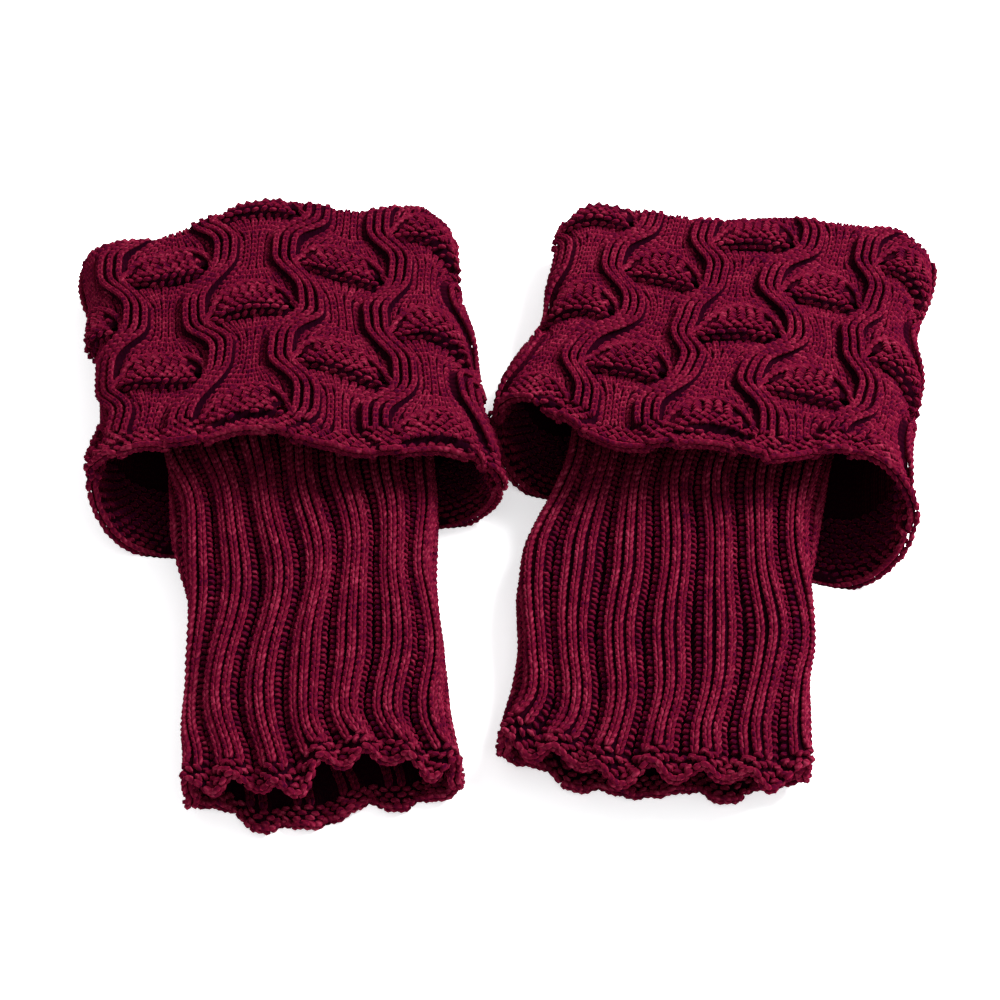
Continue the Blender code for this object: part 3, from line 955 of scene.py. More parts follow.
class Graph:
    """The node tree of one material."""

    def __init__(self, name: str) -> None:
        """Start a material with an empty tree.

        Args:
            name: The material's name.
        """
        self.material = bpy.data.materials.new(name)
        self.material.use_nodes = True
        self.tree = self.material.node_tree
        self.tree.nodes.clear()

    def node(
        self, kind: str, settings: dict[str, Any] | None = None, inputs: dict[Any, Any] | None = None, output: Any = 0
    ) -> Socket:
        """Add a node, set it and link it.

        Args:
            kind: The node's type.
            settings: Its own settings, set first; stops gives a ramp's positions and colours.
            inputs: A value or a link for each of its sockets, by name or number.
            output: Which output is returned.

        Returns:
            The output as a socket that takes part in expressions.
        """
        made = self.tree.nodes.new(kind)
        for key, value in (settings or {}).items():
            if key == "stops":
                ramp = made.color_ramp.elements
                while len(ramp) < len(value):
                    ramp.new(1.0)
                for stop, (position, colour) in zip(ramp, value):
                    stop.position, stop.color = position, colour
            else:
                setattr(made, key, value)
        for key, value in (inputs or {}).items():
            if isinstance(value, Socket):
                self.tree.links.new(value.socket, made.inputs[key])
            else:
                made.inputs[key].default_value = value
        return Socket(self, made.outputs[output] if made.outputs else None)

    def layer(self, name: str, parts: int) -> list[Socket]:
        """The first values of those that a mesh keeps under a name."""
        vector = self.node("ShaderNodeAttribute", {"attribute_name": name}, output="Vector")
        return [self.node("ShaderNodeSeparateXYZ", None, {0: vector}, part) for part in range(parts)]

    def noise(self, where: Socket, scale: float, detail: float, roughness: float = 0.6) -> Socket:
        """Noise at a scale in repeats to the metre."""
        inputs = {"Vector": where, "Scale": scale, "Detail": detail, "Roughness": roughness}
        return self.node("ShaderNodeTexNoise", None, inputs)

    def ramp(self, stops: list[tuple[float, tuple[float, ...]]], share: Socket) -> Socket:
        """A colour between stops."""
        return self.node("ShaderNodeValToRGB", {"stops": stops}, {0: share})

    def bump(self, strength: float, distance: float, height: Socket) -> Socket:
        """A normal that follows a height."""
        return self.node("ShaderNodeBump", None, {"Strength": strength, "Distance": distance, "Height": height})

    def shade(self, inputs: dict[str, Any]) -> bpy.types.Material:
        """Close the tree with a principled shader.

        Args:
            inputs: A value or a link for each of the shader's sockets, by name.

        Returns:
            The material.
        """
        shader = self.node("ShaderNodeBsdfPrincipled", None, inputs)
        self.node("ShaderNodeOutputMaterial", None, {"Surface": shader})
        return self.material


@dataclass(frozen=True)
class YarnFinish:
    """Soft wine-red acrylic yarn: a deep red core, brighter fibres and a pale pink sheen at its edges."""

    name: str
    deep: tuple[float, float, float, float] = (0.017, 0.0006, 0.0075, 1.0)
    middle: tuple[float, float, float, float] = (0.074, 0.0026, 0.0110, 1.0)
    bright: tuple[float, float, float, float] = (0.215, 0.0225, 0.0500, 1.0)
    middle_stop: float = 0.45
    sheen: tuple[float, float, float, float] = (1.0, 0.03, 0.14, 1.0)
    sheen_weight: float = 0.18
    sheen_roughness: float = 0.45
    roughness: float = 0.92
    plies: float = 2.0
    ply_length_mm: float = 3.4
    detail: float = 2.0
    fibre_scale: float = 750.0
    streaks: tuple[float, float, float] = (0.55, 5.0, 40.0)
    patch_scale: float = 85.0
    fibre_light: float = 0.7
    fluff_light: float = 0.65
    twist_light: float = 0.14
    tone_light: float = 0.28
    patch_light: float = 0.6
    level: float = -0.68
    twist_height: float = 0.35
    fibre_height: float = 0.8
    fluff_height: float = 0.5
    bump: float = 0.38
    bump_height: float = 0.0004

    def material(self) -> bpy.types.Material:
        """Build the finish for single stitches.

        Returns:
            The material.
        """
        g = Graph(self.name)
        where = g.node("ShaderNodeTexCoord", output="Object")
        along, around, tone = g.layer("strand", 3)
        lengthwise, roundwise, apart = self.streaks
        fibre = g.node("ShaderNodeCombineXYZ", None, {0: along * lengthwise, 1: around * roundwise, 2: tone * apart})
        fibres = g.noise(fibre, 1.0, self.detail)
        fluff = g.noise(where, self.fibre_scale, self.detail)
        patches = g.noise(where, self.patch_scale, self.detail)
        twist = (along * (1 / self.ply_length_mm) + around * self.plies).wave()
        light = fibres * self.fibre_light + fluff * self.fluff_light + twist * self.twist_light
        # tone is each stitch's random tone less its painted shade
        light = light + tone * self.tone_light + patches * self.patch_light + self.level
        colour = g.ramp([(0.0, self.deep), (self.middle_stop, self.middle), (1.0, self.bright)], light)
        height = twist * self.twist_height + fibres * self.fibre_height + fluff * self.fluff_height
        return self.finish(g, colour, g.bump(self.bump, self.bump_height, height))

    def finish(self, g: Graph, colour: Socket, normal: Socket) -> bpy.types.Material:
        """Put the soft shader behind a colour and a normal.

        Args:
            g: The material's graph.
            colour: The base colour.
            normal: The bumped normal.

        Returns:
            The material.
        """
        return g.shade(
            {
                "Base Color": colour,
                "Roughness": self.roughness,
                "Normal": normal,
                "Sheen Weight": self.sheen_weight,
                "Sheen Roughness": self.sheen_roughness,
                "Sheen Tint": self.sheen,
                "Specular IOR Level": 0.0,
            }
        )


@dataclass(frozen=True)
class ShadePaintedGround:
    """The cloth that shows between the stitches and underneath, of the same yarn, painted near black as shade."""

    yarn: YarnFinish
    hollow_shade: tuple[float, float, float, float] = (0.0034, 0.0003, 0.0022, 1.0)
    shade: float = 0.95  # painted shade: how much darker its brightest parts are painted than the yarn's
    dark: float = 0.385
    detail: float = 3.0
    detail_roughness: float = 0.7
    leg_slant: float = 0.9
    leg_height: float = 0.5
    legs: float = 2.0
    fibre_height: float = 0.6
    bump: float = 0.3
    bump_height: float = 0.0005

    def material(self) -> bpy.types.Material:
        """Build the finish for the cloth, painted dark as the shade between and under the stitches.

        Returns:
            The material.
        """
        g = Graph(self.yarn.name + "_ground")
        where = g.node("ShaderNodeTexCoord", output="Object")
        across, along = g.layer("knit", 2)
        across, along = across * (MM / WALE), along * (MM / ROW)
        middle = across.math("PINGPONG", across, 0.5)
        legs = (along + middle * self.leg_slant).wave() * self.leg_height + (middle * self.legs).wave()
        fibres = g.noise(where, self.yarn.fibre_scale, self.detail, self.detail_roughness)
        # painted shade: the cloth's colour runs from a near-black hollow to a twentieth of the yarn's brightest
        brightest = tuple(c * (1 - self.shade) for c in self.yarn.bright[:3]) + (1.0,)
        colour = g.ramp([(0.0, self.hollow_shade), (1.0, brightest)], fibres - self.dark)
        height = legs + fibres * self.fibre_height
        return self.yarn.finish(g, colour, g.bump(self.bump, self.bump_height, height))


@dataclass
class Knitter:
    """Lays stitches on a piece of cloth."""

    cloth: Cloth
    wale: float = WALE
    row: float = ROW
    tip_dip: float = 0.00035
    reaches: tuple[float, float, float] = (-0.25, 0.42, 1.10)
    ends: tuple[float, float] = (0.3, 1.2)
    bump_turn: float = 0.40
    bump_shift: float = 0.0003
    bump_sag: float = 0.0003

    def chain(
        self,
        yarn: YarnMesh,
        around: Array,
        down: Array,
        out: Array = 0.0,
        keep: Keep | None = None,
        leg: Leg = PLAIN,
        inward: bool = False,
        shade: float = 0.0,
    ) -> None:
        """Knit one wale of plain stitches along a path, as pairs of legs.

        Args:
            yarn: What the legs are added to.
            around: The path's places round the cloth, in the order of knitting.
            down: Its places down the cloth.
            out: How far outwards it runs.
            keep: Says which stitches are knitted.
            leg: The shape of a stitch's legs.
            inward: True on the cloth's inside.
            shade: Painted shade: how much darker the yarn's tone is painted.
        """
        path, facing = self.cloth.frames(around, down, out)
        facing = -facing if inward else facing
        walked = walk(path)
        first, last = self.ends
        at = np.arange(first * self.row, walked[-1] - last * self.row, self.row)
        if not len(at):
            return

        def read(values: Array, places: Array) -> Array:
            """Read values of the path at distances along it."""
            return np.stack([np.interp(places, walked, column) for column in np.atleast_2d(values.T)], axis=1)

        if keep is not None:
            middle = at + self.reaches[1] * self.row
            a, d = (read(values, middle)[:, 0] for values in np.broadcast_arrays(around, down))
            at = at[keep(a, d, read(path, middle))]
        middle = at + self.reaches[1] * self.row
        normals = unit(read(facing, middle))
        across = unit(np.cross(read(path, middle + MM / 2) - read(path, middle - MM / 2), normals))
        points = []
        for share, lift in zip(self.reaches, (-self.tip_dip, leg.bow, -self.tip_dip)):
            places = at + share * self.row
            points.append(read(path, places) + lift * unit(read(facing, places)))
        for side in (-1, 1):
            start, bow, end = (p + side * share * self.wale * across for p, share in zip(points, leg.spread))
            yarn.lay(start, bow, end, normals, leg.width, leg.depth, shade)

    def bumps(
        self,
        yarn: YarnMesh,
        around: Array,
        down: Array,
        out: Array,
        bump: Bump = PEBBLE,
        inward: bool = False,
        shade: float = 0.0,
    ) -> None:
        """Lay garter bumps, each a short bowed length of yarn across the wales.

        Args:
            yarn: What the bumps are added to.
            around: Their places round the cloth.
            down: Their places down it.
            out: How far outwards.
            bump: A bump's shape.
            inward: True on the cloth's inside.
            shade: Painted shade: how much darker the yarn's tone is painted.
        """
        if not len(around):
            return
        points, normals = self.cloth.frames(around, down, out)
        ahead = self.cloth.point(around + self.cloth.around_probe, down, out)
        across = unit(ahead - points)
        if inward:
            normals = -normals
        along = np.cross(normals, across)
        one_each = (len(points), 1)
        turned = yarn.random.uniform(-self.bump_turn, self.bump_turn, one_each)
        across = unit(across + turned * along)
        nudged = points + yarn.random.uniform(-self.bump_shift, self.bump_shift, one_each) * (along + across)
        reach, dip = bump.half_length * across, self.tip_dip * normals
        bow = nudged + bump.bow * normals + self.bump_sag * along
        yarn.lay(nudged - reach - dip, bow, nudged + reach - dip, normals, bump.width, bump.depth, shade)


@dataclass
class KnitPart:
    """A part of a leg warmer: a cloth shell and the stitches on it."""

    sizes: Sizes
    yarn_finish: bpy.types.Material
    # the cloth's finish is painted near black as the shade between the stitches
    shade_painted_ground: bpy.types.Material
    wall: float = 0.0012
    seam_gap: float = 0.00005
    lowest: float = 0.0022
    hole_edge: float = 0.0003
    hole_rim: float = 0.0009
    bump_gap: float = 0.0036
    rim_step: float = 0.0022
    rim_reach: float = 0.0012
    rim_rows: tuple[tuple[float, float], ...] = ((0.9, 0.0003), (-0.9, -0.0015))
    rim_shift: float = 0.15
    rim_size: tuple[float, float] = (0.8, 1.15)
    rim_bow: tuple[float, float] = (0.7, 1.2)
    made: dict[str, bpy.types.Object] = field(default_factory=dict)

    def shell_of(
        self, piece: str, grid: Array, knit: tuple[Array, Array], holes: Array | tuple = (), radius: float = 0.0
    ) -> None:
        """Make a closed-round cloth shell from a grid of points, with a wall of its own and round holes.

        Args:
            piece: Its name without its side.
            grid: Points, rows by columns, where the columns run all round.
            knit: The distance round and the distance along at each point, for the finish.
            holes: The middles of the holes.
            radius: The holes' radius.
        """
        rows, columns = grid.shape[:2]
        number = np.arange(rows * columns).reshape(rows, columns)
        turned = np.roll(number, -1, axis=1)
        quads = np.stack([number[:-1], turned[:-1], turned[1:], number[1:]], axis=-1).reshape(-1, 4)
        points = grid.reshape(-1, 3).copy()
        for hole in holes:
            reach = np.linalg.norm(points - hole, axis=1)
            cut = reach[quads].mean(axis=1) < radius + self.hole_edge
            quads = quads[~cut]
            rim = np.flatnonzero(reach < radius + self.hole_rim)
            points[rim] = hole + (points[rim] - hole) * (radius / np.maximum(reach[rim], MM))[:, None]
        placed = self.sizes.put(points)
        placed[:, 2] = np.maximum(placed[:, 2], 0.0)
        name = f"{self.sizes.side}_{piece}"
        made = mesh_object(name, placed, quads.ravel(), np.full(len(quads), 4), self.shade_painted_ground)
        round_mm, along_mm = (distance / MM for distance in knit)
        write_layer(made, "knit", np.stack(np.broadcast_arrays(round_mm[None], along_mm, 0.0), axis=-1))
        wall = made.modifiers.new("wall", "SOLIDIFY")
        wall.thickness = self.wall
        wall.offset = -1.0
        wall.use_even_offset = False
        self.made[piece] = made

    def bind_off(self, piece: str, yarn: YarnMesh) -> None:
        """Turn laid yarn into a piece of this part."""
        self.made[piece] = yarn.build(f"{self.sizes.side}_{piece}", self.yarn_finish)

    def above_surface(self, around: Array, down: Array, points: Array) -> Array:
        """Whether stitches are clear of the surface that the warmer lies on."""
        return points[:, 2] > self.lowest

    def rim(self, yarn: YarnMesh, cloth: Cloth, hem: Callable[[Array], Array], into: float, girth: float) -> None:
        """Bind an edge of the cloth with two staggered rows of thick bumps, one rolled outwards and one inwards.

        Args:
            yarn: What the bumps are added to.
            cloth: The cloth.
            hem: The edge's place down the cloth at places round it.
            into: The sign of the way from the edge into the cloth.
            girth: The length of the edge.
        """
        count = int(girth / self.rim_step)
        for j, (tilt, out) in enumerate(self.rim_rows):
            shift = yarn.random.uniform(-self.rim_shift, self.rim_shift, count)
            around = (np.arange(count) + 0.5 * j + shift) / count
            at, normals = cloth.frames(around, hem(around), out)
            back = unit(cloth.point(around, hem(around) + into * self.rim_reach, out) - at)
            beside = around + cloth.around_probe
            along = unit(cloth.point(beside, hem(beside), out) - at)
            facing = unit(tilt * normals - back)
            size = EDGE.half_length * yarn.random.uniform(*self.rim_size, (count, 1))
            bow = at + EDGE.bow * yarn.random.uniform(*self.rim_bow, (count, 1)) * facing
            yarn.lay(at - size * along, bow, at + size * along, facing, EDGE.width, EDGE.depth)


@dataclass
class TubePart(KnitPart):
    """The ribbed leg tube, three plain wales to a rib and purl bumps, in painted shade, on the walls of its furrows.
    """

    slot: Slot = Slot.RIB
    steps_to_rib: int = 12
    hem_shares: tuple[float, ...] = (0.0, 0.006, 0.014, 0.024, 0.036, 0.05)
    even_shares: tuple[float, float, int] = (0.064, 0.70, 44)
    back_shares: tuple[float, ...] = (0.8, 0.9, 1.0)
    stitched: tuple[float, float, int] = (0.0066, 0.170, 180)
    side_ribs: int = 1
    rib_wales: tuple[float, ...] = (-0.232, 0.0, 0.232)
    wale_rise: float = 0.0003
    middle_rise: float = 0.0006
    # painted shade: how much darker the wales beside the furrows and the purl bumps in them are painted
    outer_shade: float = 0.15
    purl_walls: tuple[float, ...] = (-0.395, 0.395)
    purl_shade: float = 0.75
    purl_row: float = 0.0023
    hem_rows: tuple[float, ...] = (0.0014, 0.0034, 0.0054)
    hem_outside: tuple[float, float] = (0.56, 0.94)
    hem_inside: tuple[float, float] = (0.48, 0.02)
    hem_rise: tuple[float, float] = (0.0005, 0.0004)
    inner_path: tuple[float, float, int] = (0.0060, 0.040, 50)
    inner_wales: tuple[float, ...] = (-0.13, 0.13)
    inner_round: tuple[float, float] = (0.52, 0.98)
    inner_rise: float = 0.0006
    # painted shade: how much darker the wales inside the hem are painted
    inner_shade: float = 0.8

    def __post_init__(self) -> None:
        """Make the tube's cloth and what knits on it."""
        self.cloth = RibTube(self.sizes)
        self.knit = Knitter(self.cloth)

    def build(self) -> None:
        """Make the tube's pieces."""
        self.shell()
        self.stitches()
        self.hem()

    def shell(self) -> None:
        """Make the corrugated cloth."""
        around = np.linspace(0.0, 1.0, self.cloth.ribs * self.steps_to_rib, endpoint=False)
        length = self.sizes.join - self.seam_gap - self.cloth.hem(around)
        shares = np.concatenate([self.hem_shares, np.linspace(*self.even_shares), self.back_shares])
        down = shares[:, None] * length[None]
        self.shell_of("rib_shell", self.cloth.point(around[None], down), (around * self.cloth.girth, down))

    def stitches(self) -> None:
        """Knit the ribs' plain wales and the furrows' purl bumps, on top and round the sides."""
        yarn = YarnMesh(self.sizes, seed=1)
        down = np.linspace(*self.stitched)
        steps = np.arange(down[0], down[-1], self.purl_row)
        for rib in range(-self.side_ribs, self.cloth.ribs_on_top + self.side_ribs):
            for offset in self.rib_wales:
                around = np.full(len(down), (rib + 0.5 + offset) * self.cloth.pitch)
                middle = offset == 0.0
                out = self.wale_rise + self.middle_rise * middle
                # the outer wales are painted darker, as painted shade
                shade = 0.0 if middle else self.outer_shade
                self.knit.chain(yarn, around, down, out, self.above_surface, shade=shade)
            # the purl bumps in the furrows are painted darker, as painted shade
            for offset in self.purl_walls:
                around = np.full(len(steps), (rib + 0.5 + offset) * self.cloth.pitch)
                kept = self.above_surface(around, steps, self.cloth.point(around, steps))
                self.knit.bumps(yarn, around[kept], steps[kept], 0.0, PURL, shade=self.purl_shade)
        self.bind_off("rib_stitches", yarn)

    def hem(self) -> None:
        """Bind the lobed hem, with bumps beside it and wales inside its lower half in painted shade."""
        yarn = YarnMesh(self.sizes, seed=2)
        girth = self.cloth.form.girth(0.0)
        self.rim(yarn, self.cloth, np.zeros_like, 1.0, girth)
        outer, inner = self.hem_rise
        for j, up in enumerate(self.hem_rows):
            around = even_turns(int(girth / self.bump_gap), 0.5 * j)
            end, start = self.hem_outside
            top = around[(around < end) | (around > start)]
            self.knit.bumps(yarn, top, np.full(len(top), up), outer)
            start, end = self.hem_inside
            under = around[(around > start) | (around < end)]
            self.knit.bumps(yarn, under, np.full(len(under), up), -self.wall - inner, inward=True)
        start, end = self.inner_round
        down = np.linspace(*self.inner_path)
        for furrow in range(self.cloth.ribs):
            for offset in self.inner_wales:
                place = (furrow + offset) * self.cloth.pitch
                if start < place < end:
                    around, inside = np.full(len(down), place), -self.wall - self.inner_rise
                    self.knit.chain(yarn, around, down, inside, inward=True, shade=self.inner_shade)
        self.bind_off("rib_hem", yarn)


@dataclass
class CuffPart(KnitPart):
    """The lace cuff: chains, fans of plain wales, crescents of garter bumps and a garter band at its hem."""

    slot: Slot = Slot.LACE
    steps_round: tuple[int, int] = (88, 34)
    steps_down: int = 68
    steps_fold: int = 7
    steps_lip: int = 4
    side_reach: float = 0.075
    round_fold: float = 0.0120
    at_fold: float = 0.012  # how far down from the fold the chains and bumps sink into the cloth
    all_columns: range = range(-3, 8)
    all_rows: tuple[float, float, int] = (-0.7, 3.6, 300)
    proud: float = 0.0009
    proud_at_fold: float = -0.0005
    eyelet_room: float = 0.0025
    gap_room: float = 0.0020
    arch_share: float = 0.525
    arch_height: float = 0.0178
    arch_foot: float = 0.0026
    arch_steps: int = 60
    foot_steps: int = 8
    fan_wales: int = 10
    fan_crowded: float = 0.0019
    fan_gap: float = 1.5
    fan_reach: float = 0.7
    fan_row: float = 0.02
    chain_room: float = 0.155
    lip_foot: float = 0.0024
    crescent_top: float = 0.0192
    under_wales_at: float = 0.24
    under_steps: int = 80
    # painted shade: how much darker the wales round the under panel's fold are painted
    under_shade: float = 0.4
    lip_end: float = 0.0015
    crescent_share: float = 0.475
    crescent_rows: tuple[float, ...] = (-0.0010, -0.0002, 0.0018, 0.0040, 0.0064, 0.0088, 0.0112, 0.0136, 0.0154)
    row_shift: float = 0.25
    bump_room: float = 0.0010
    pebble_out: float = 0.0002
    pebble_at_fold: float = -0.0010
    hem_at: float = 0.14
    band: float = 0.012
    band_wave: float = 0.002
    band_rise: float = 0.0002
    band_start: float = 0.0012
    band_rows: int = 6
    bump_row: float = 0.0024
    inner_start: float = 0.0020
    inner_rows: int = 12
    inner_round: tuple[float, float] = (0.42, 0.08)
    # painted shade inside the hem: how much darker the deepest rows are painted, and the depth at which it is full
    inner_shade: float = 1.6
    inner_dark: float = 0.014
    lip_length: float = 0.03

    def __post_init__(self) -> None:
        """Make the cuff's cloth and what knits on it."""
        self.cloth = LaceCuff(self.sizes)
        self.knit = Knitter(self.cloth)
        self.crescent_reach = self.crescent_share * self.cloth.column_width
        self.arch_reach = self.arch_share * self.cloth.column_width

    def build(self) -> None:
        """Make the cuff's pieces."""
        self.shell()
        self.chains()
        self.fans()
        self.crescents()
        self.hem()

    def shell(self) -> None:
        """Make the cloth in relief, from its hem over the fold to its turned-in lip."""
        cloth = self.cloth
        top, under = self.steps_round
        halves = np.linspace(0.0, 0.5, top, endpoint=False), np.linspace(0.5, 1.0, under, endpoint=False)
        around = np.concatenate(halves)
        fold = -np.linspace(0.0, math.pi * cloth.fold_radius, self.steps_fold)[1:]
        lip = cloth.fold(around) - self.sizes.join - self.seam_gap
        flat = np.linspace(1.0, 0.0, self.steps_down)[:, None] * cloth.length(around)[None]
        bent = np.broadcast_to(fold[:, None], (len(fold), len(around)))
        turned = fold[-1] - np.linspace(0.0, 1.0, self.steps_lip)[1:, None] * lip[None]
        down = np.concatenate([flat, bent, turned])
        knit = around * cloth.girth, down
        self.shell_of("cuff_shell", cloth.point(around[None], down), knit, cloth.eyelet_points, cloth.eyelet_radius)

    def band_height(self, around: Array) -> Array:
        """The height of the garter band above the hem, which is taller where the hem hangs lower."""
        column = self.sizes.lattice.numbers(around, self.cloth.length(around))[0]
        return self.band + self.band_wave * np.cos(math.pi * column)

    def seen(self, around: Array, down: Array) -> Array:
        """Whether places lie on the seen part of the cuff, above its edge band."""
        on_top = (around > -self.side_reach) & (around < 0.5 + self.side_reach)
        return on_top & (down > -self.round_fold) & (down < self.cloth.length(around) - self.band_height(around))

    def open_cloth(self, around: Array, down: Array, margin: float = 0.0) -> Array:
        """Whether places lie on the seen part of the cuff and clear of the eyelets.

        Args:
            around: Turns.
            down: Ways down from the fold.
            margin: How much more room than usual the eyelets get.

        Returns:
            True for each place that does.
        """
        kept = self.seen(around, down)
        x, y = self.cloth.local(around, down)
        for pit, room in ((self.cloth.eyelet, self.eyelet_room), (self.cloth.gap, self.gap_room)):
            kept &= self.cloth.away(x, y, pit) > room + margin
        return kept

    def clear(self, around: Array, down: Array, points: Array) -> Array:
        """Whether stitches lie on the seen part of the cuff and clear of the eyelets."""
        return self.open_cloth(around, down)

    def in_fan(self, around: Array, down: Array) -> Array:
        """Whether places lie between the chains and off the crescents.

        Args:
            around: Turns.
            down: Ways down from the fold.

        Returns:
            True for each place that does.
        """
        near = self.cloth.off_chains(*self.sizes.lattice.numbers(around, down))
        x, y = self.cloth.local(around, down)
        arch = np.clip(1 - (x / self.arch_reach) ** 2, 0.0, 1.0)
        crescent = (y < self.lip_foot) & (y > -self.crescent_top * np.sqrt(arch)) & (arch > 0)
        return ~crescent & (near >= self.chain_room)

    def chains_out(self, down: Array) -> Array:
        """How far the raised chains stand out of the cloth, which they sink into at the fold."""
        return self.proud_at_fold + (self.proud - self.proud_at_fold) * ease(0.0, self.at_fold, down)

    def pebbles_out(self, down: Array) -> Array:
        """How far the crescents' bumps stand out, which is least at the fold."""
        return self.pebble_out + (self.pebble_at_fold - self.pebble_out) * (1 - ease(0.0, self.at_fold, down))

    def chains(self) -> None:
        """Knit the bundles of three raised chains between the columns, and the chain over each crescent."""
        yarn = YarnMesh(self.sizes, seed=3)
        row = np.linspace(*self.all_rows)
        for number in self.all_columns:
            for strand in (-1, 0, 1):
                column = self.cloth.boundary(number, row) + strand * self.cloth.chain_gap
                self.raised_chain(yarn, *self.sizes.lattice.place(column, row))
        path = self.arch()
        for column in self.cloth.columns:
            for row in self.cloth.rows:
                self.raised_chain(yarn, *self.cloth.spot(column, row, path[:, 0], path[:, 1]))
        self.bind_off("cuff_chains", yarn)

    def raised_chain(self, yarn: YarnMesh, around: Array, down: Array) -> None:
        """Knit one raised chain along a path."""
        self.knit.chain(yarn, around, down, self.chains_out(down), self.clear, RAISED)

    def arch(self) -> Array:
        """Draw the chain that runs over a crescent, outside its eyelets.

        Returns:
            Points across from the crescent's middle and down from its lip, one to a row.
        """
        sweep = np.linspace(0.0, math.pi, self.arch_steps)
        arch = np.stack([-self.arch_reach * np.cos(sweep), -self.arch_height * np.sin(sweep)], axis=1)
        fall = np.linspace(0.0, self.arch_foot, self.foot_steps + 1)[1:]
        foot = np.stack([np.full(self.foot_steps, self.arch_reach), fall], axis=1)
        return np.concatenate([foot[::-1] * (-1, 1), arch, foot])

    def fans(self) -> None:
        """Knit the plain wales between the chains, above and below each crescent, and under the fold."""
        yarn = YarnMesh(self.sizes, seed=4)
        row = np.linspace(*self.all_rows)
        edge_gap = self.fan_gap * self.cloth.chain_gap
        for column in self.all_columns:
            left = self.cloth.boundary(column - 1, row) + edge_gap
            width = self.cloth.boundary(column, row) - edge_gap - left
            open_rows = row[width * self.cloth.column_width > self.fan_crowded * self.fan_wales]
            for wale in range(self.fan_wales):
                line = left + width * (wale + 0.5) / self.fan_wales
                keep = self.fan_keep(column, open_rows if wale % 2 else row)
                self.knit.chain(yarn, *self.sizes.lattice.place(line, row), 0.0, keep, FINE)
        self.under_fold(yarn)
        self.bind_off("cuff_fans", yarn)

    def fan_keep(self, column: int, rows: Array) -> Keep:
        """Make a test for the fan stitches of one column, which thin out where the chains close in.

        Args:
            column: The column.
            rows: The row numbers that are wide enough for the wale.

        Returns:
            The test.
        """

        def keep(around: Array, down: Array, points: Array) -> Array:
            """Whether each stitch is knitted.

            Args:
                around: The stitches' turns.
                down: Their ways down from the fold.
                points: Their points.

            Returns:
                True for each that is.
            """
            at, row = self.sizes.lattice.numbers(around, down)
            wide = np.abs(rows[None] - row[:, None]).min(axis=1) < self.fan_row
            inside = np.abs(at - column) < self.fan_reach
            return self.in_fan(around, down) & wide & inside & self.clear(around, down, points)

        return keep

    def under_fold(self, yarn: YarnMesh) -> None:
        """Knit plain wales round the fold of the under panel and on its turned-in lip, in painted shade.

        Args:
            yarn: What the stitches are added to.
        """
        for turn in np.arange(0.5, 1.0, self.knit.wale / self.cloth.form.girth(self.under_wales_at)):
            lip = float(self.cloth.fold(turn)) - self.sizes.join
            way = -np.linspace(0.0, math.pi * self.cloth.fold_radius + lip - self.lip_end, self.under_steps)
            self.knit.chain(yarn, np.full(len(way), turn), way, 0.0, self.above_surface, shade=self.under_shade)

    def crescents(self) -> None:
        """Lay the garter bumps on the crescents, in arched rows over a thick lip."""
        yarn = YarnMesh(self.sizes, seed=5)
        for column in self.cloth.columns:
            for row in self.cloth.rows:
                for j, up in enumerate(self.crescent_rows):
                    half = self.crescent_reach * math.sqrt(max(1 - (max(up, 0.0) / self.arch_height) ** 2, 0.0))
                    count = int(2 * half / self.bump_gap) + 1
                    x = (np.arange(count) - (count - 1) / 2) * self.bump_gap
                    x = x + (self.row_shift if j % 2 else -self.row_shift) * self.bump_gap
                    bend = np.sqrt(np.clip(1 - (x / self.arch_reach) ** 2, 0.0, 1.0))
                    turn, down = self.cloth.spot(column, row, x, np.where(up > 0, -up * bend, -up))
                    kept = self.open_cloth(turn, down, self.bump_room)
                    self.knit.bumps(yarn, turn[kept], down[kept], self.pebbles_out(down[kept]))
        self.bind_off("cuff_crescents", yarn)

    def hem(self) -> None:
        """Knit the garter band along the hem, its edge and the cloth's inside where the mouth shows it."""
        yarn = YarnMesh(self.sizes, seed=6)
        girth = self.cloth.form.girth(self.hem_at)
        count = int(girth / self.bump_gap)
        for j in range(self.band_rows):
            around = even_turns(count, 0.5 if j % 2 else 0.0)
            up = self.band_start + j * self.bump_row
            on_top = (around < 0.5 + self.side_reach) | (around > 1 - self.side_reach)
            around = around[on_top & (up < self.band_height(around))]
            self.knit.bumps(yarn, around, self.cloth.length(around) - up, self.band_rise)
        start, end = self.inner_round
        for j in range(self.inner_rows):
            around = even_turns(count, 0.5 if j % 2 else 0.0)
            up = self.inner_start + j * self.bump_row
            around = around[(around > start) | (around < end)]
            down, inside = self.cloth.length(around) - up, -self.wall - self.band_rise
            # painted shade: rows further inside the mouth are painted darker
            deep = self.inner_shade * min(up / self.inner_dark, 1.0)
            self.knit.bumps(yarn, around, down, inside, inward=True, shade=deep)
        self.rim(yarn, self.cloth, self.cloth.length, -1.0, girth)
        self.bind_off("cuff_hem", yarn)

    def mean_length(self) -> float:
        """The knitted length from the hem over the fold to the lip's end, a mean of the top and the underside."""
        return float(self.cloth.length(np.array([QUARTER, 1 - QUARTER])).mean()) + self.lip_length


@dataclass
class Warmer:
    """One leg warmer: its ribbed tube and the lace cuff folded over it."""

    tube: TubePart
    cuff: CuffPart

    def build(self) -> None:
        """Make all pieces, put them on the body and hide the solids that they stand for."""
        for part in (self.tube, self.cuff):
            part.build()
            for made in part.made.values():
                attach(made, BODY)
                log.info("%s: %d faces", made.name, len(made.data.polygons))
        side = self.tube.sizes.side
        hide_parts(f"{side}_rib_tube")
        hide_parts(f"{side}_cuff_upper", f"{side}_cuff_under")
        self.declare()

    def declare(self) -> None:
        self.cuff.mean_length()


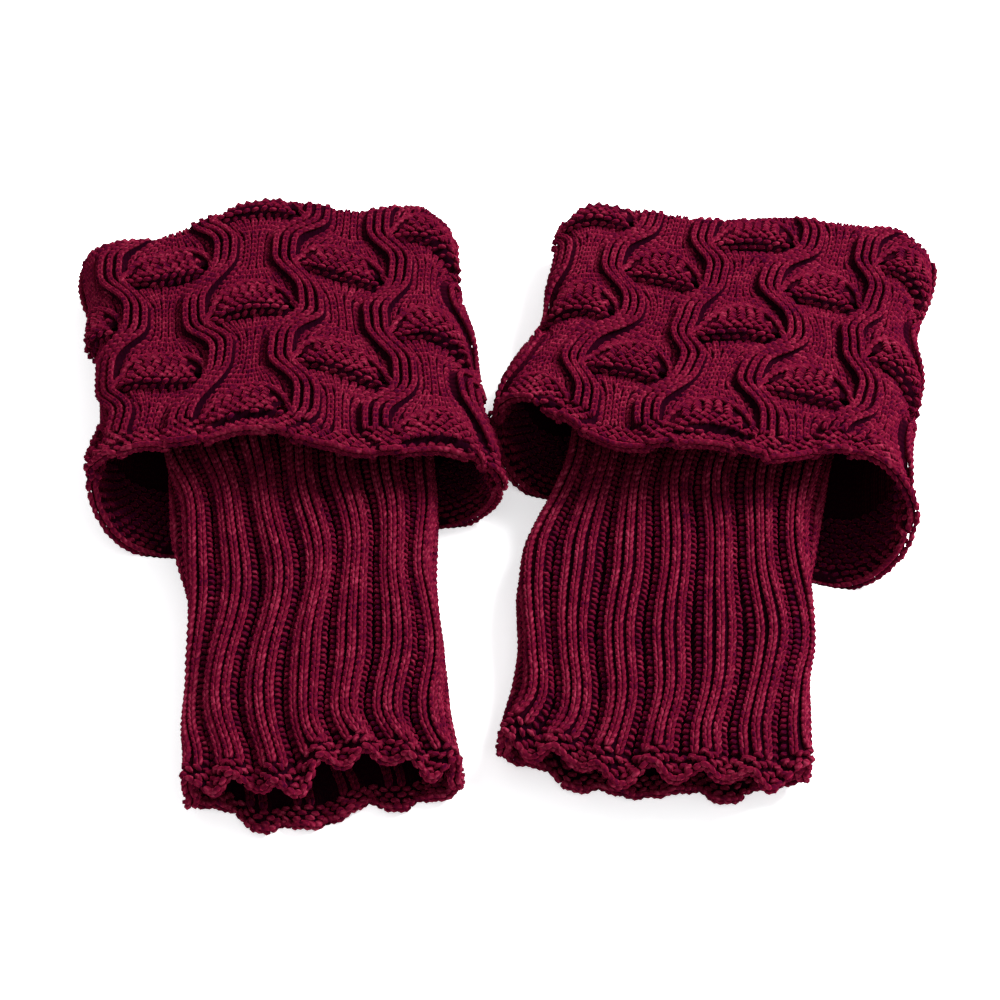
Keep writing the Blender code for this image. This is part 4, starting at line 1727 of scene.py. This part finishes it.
@dataclass(frozen=True)
class Lamp:
    """A soft square light: where it hangs, what it faces, its size and its power."""

    name: str
    place: tuple[float, float, float]
    size: float
    power: float
    aim: tuple[float, float, float] = (0.0, 0.0, 0.0)

    def hang(self) -> None:
        """Add the light."""
        data = bpy.data.lights.new(self.name, "AREA")
        data.shape = "SQUARE"
        data.size = self.size
        data.energy = self.power
        lamp = bpy.data.objects.new(self.name, data)
        lamp.location = self.place
        lamp.rotation_euler = (Vector(self.aim) - Vector(self.place)).to_track_quat("-Z", "Y").to_euler()
        bpy.context.scene.collection.objects.link(lamp)


@dataclass
class Studio:
    """The plain pale floor, the soft light and the camera at the photograph's angle."""

    elevation: float = math.radians(52.0)
    distance: float = 0.70
    target: tuple[float, float, float] = (-0.0028, -0.0110, 0.012)
    lens: float = 67.2
    sensor: float = 36.0
    shift_y: float = 0.010
    floor_size: float = 6.0
    floor_colour: tuple[float, float, float, float] = (0.92, 0.92, 0.93, 1.0)
    floor_glow: float = 0.52
    surround: tuple[float, float, float, float] = (1.0, 1.0, 1.0, 1.0)
    world_strength: float = 0.76
    lamps: tuple[Lamp, ...] = (
        Lamp("key", (0.85, 0.35, 0.95), 0.6, 50.0),
        Lamp("fill", (0.4, -0.9, 1.2), 1.6, 4.0),
    )

    def build(self) -> None:
        """Set up the floor, the camera and the light."""
        self.floor()
        self.camera()
        self.light()

    def floor(self) -> None:
        """Lay a pale floor under the pair."""
        half = self.floor_size / 2
        corners = np.array([(-half, -half, 0.0), (half, -half, 0.0), (half, half, 0.0), (-half, half, 0.0)])
        colour, glow = self.floor_colour, self.floor_glow
        inputs = {"Base Color": colour, "Roughness": 1.0, "Emission Color": colour, "Emission Strength": glow}
        pale = Graph("pale_floor").shade(inputs)
        mesh_object("floor", corners, np.arange(4), np.array([4]), pale)

    def camera(self) -> None:
        """Set the camera at the photograph's viewing angle."""
        data = bpy.data.cameras.new("camera")
        data.lens = self.lens
        data.sensor_width = self.sensor
        data.shift_y = self.shift_y
        view = bpy.data.objects.new("camera", data)
        back = Vector((0.0, -math.cos(self.elevation), math.sin(self.elevation)))
        view.location = Vector(self.target) + self.distance * back
        view.rotation_euler = (-back).to_track_quat("-Z", "Y").to_euler()
        bpy.context.scene.collection.objects.link(view)
        bpy.context.scene.camera = view

    def light(self) -> None:
        """Hang the lamps in a pale surround."""
        world = bpy.data.worlds.new("surround")
        world.use_nodes = True
        inputs = world.node_tree.nodes["Background"].inputs
        inputs["Color"].default_value = self.surround
        inputs["Strength"].default_value = self.world_strength
        bpy.context.scene.world = world
        for lamp in self.lamps:
            lamp.hang()
        bpy.context.scene.view_settings.view_transform = "Standard"


def main() -> None:
    """Build the studio and both leg warmers."""
    logging.basicConfig(level=logging.INFO, format="%(message)s")
    rib, lace = YarnFinish("rib_yarn"), YarnFinish("lace_yarn", level=-0.75)
    rib_yarn, lace_yarn = rib.material(), lace.material()
    # the cloth finishes are painted near black as the shade between and under the stitches
    rib_shade_painted_ground, lace_shade_painted_ground = ShadePaintedGround(rib).material(), ShadePaintedGround(lace).material()
    Studio().build()
    for sizes in (LEFT, RIGHT):
        Warmer(TubePart(sizes, rib_yarn, rib_shade_painted_ground), CuffPart(sizes, lace_yarn, lace_shade_painted_ground)).build()


if __name__ == "__main__":
    main()
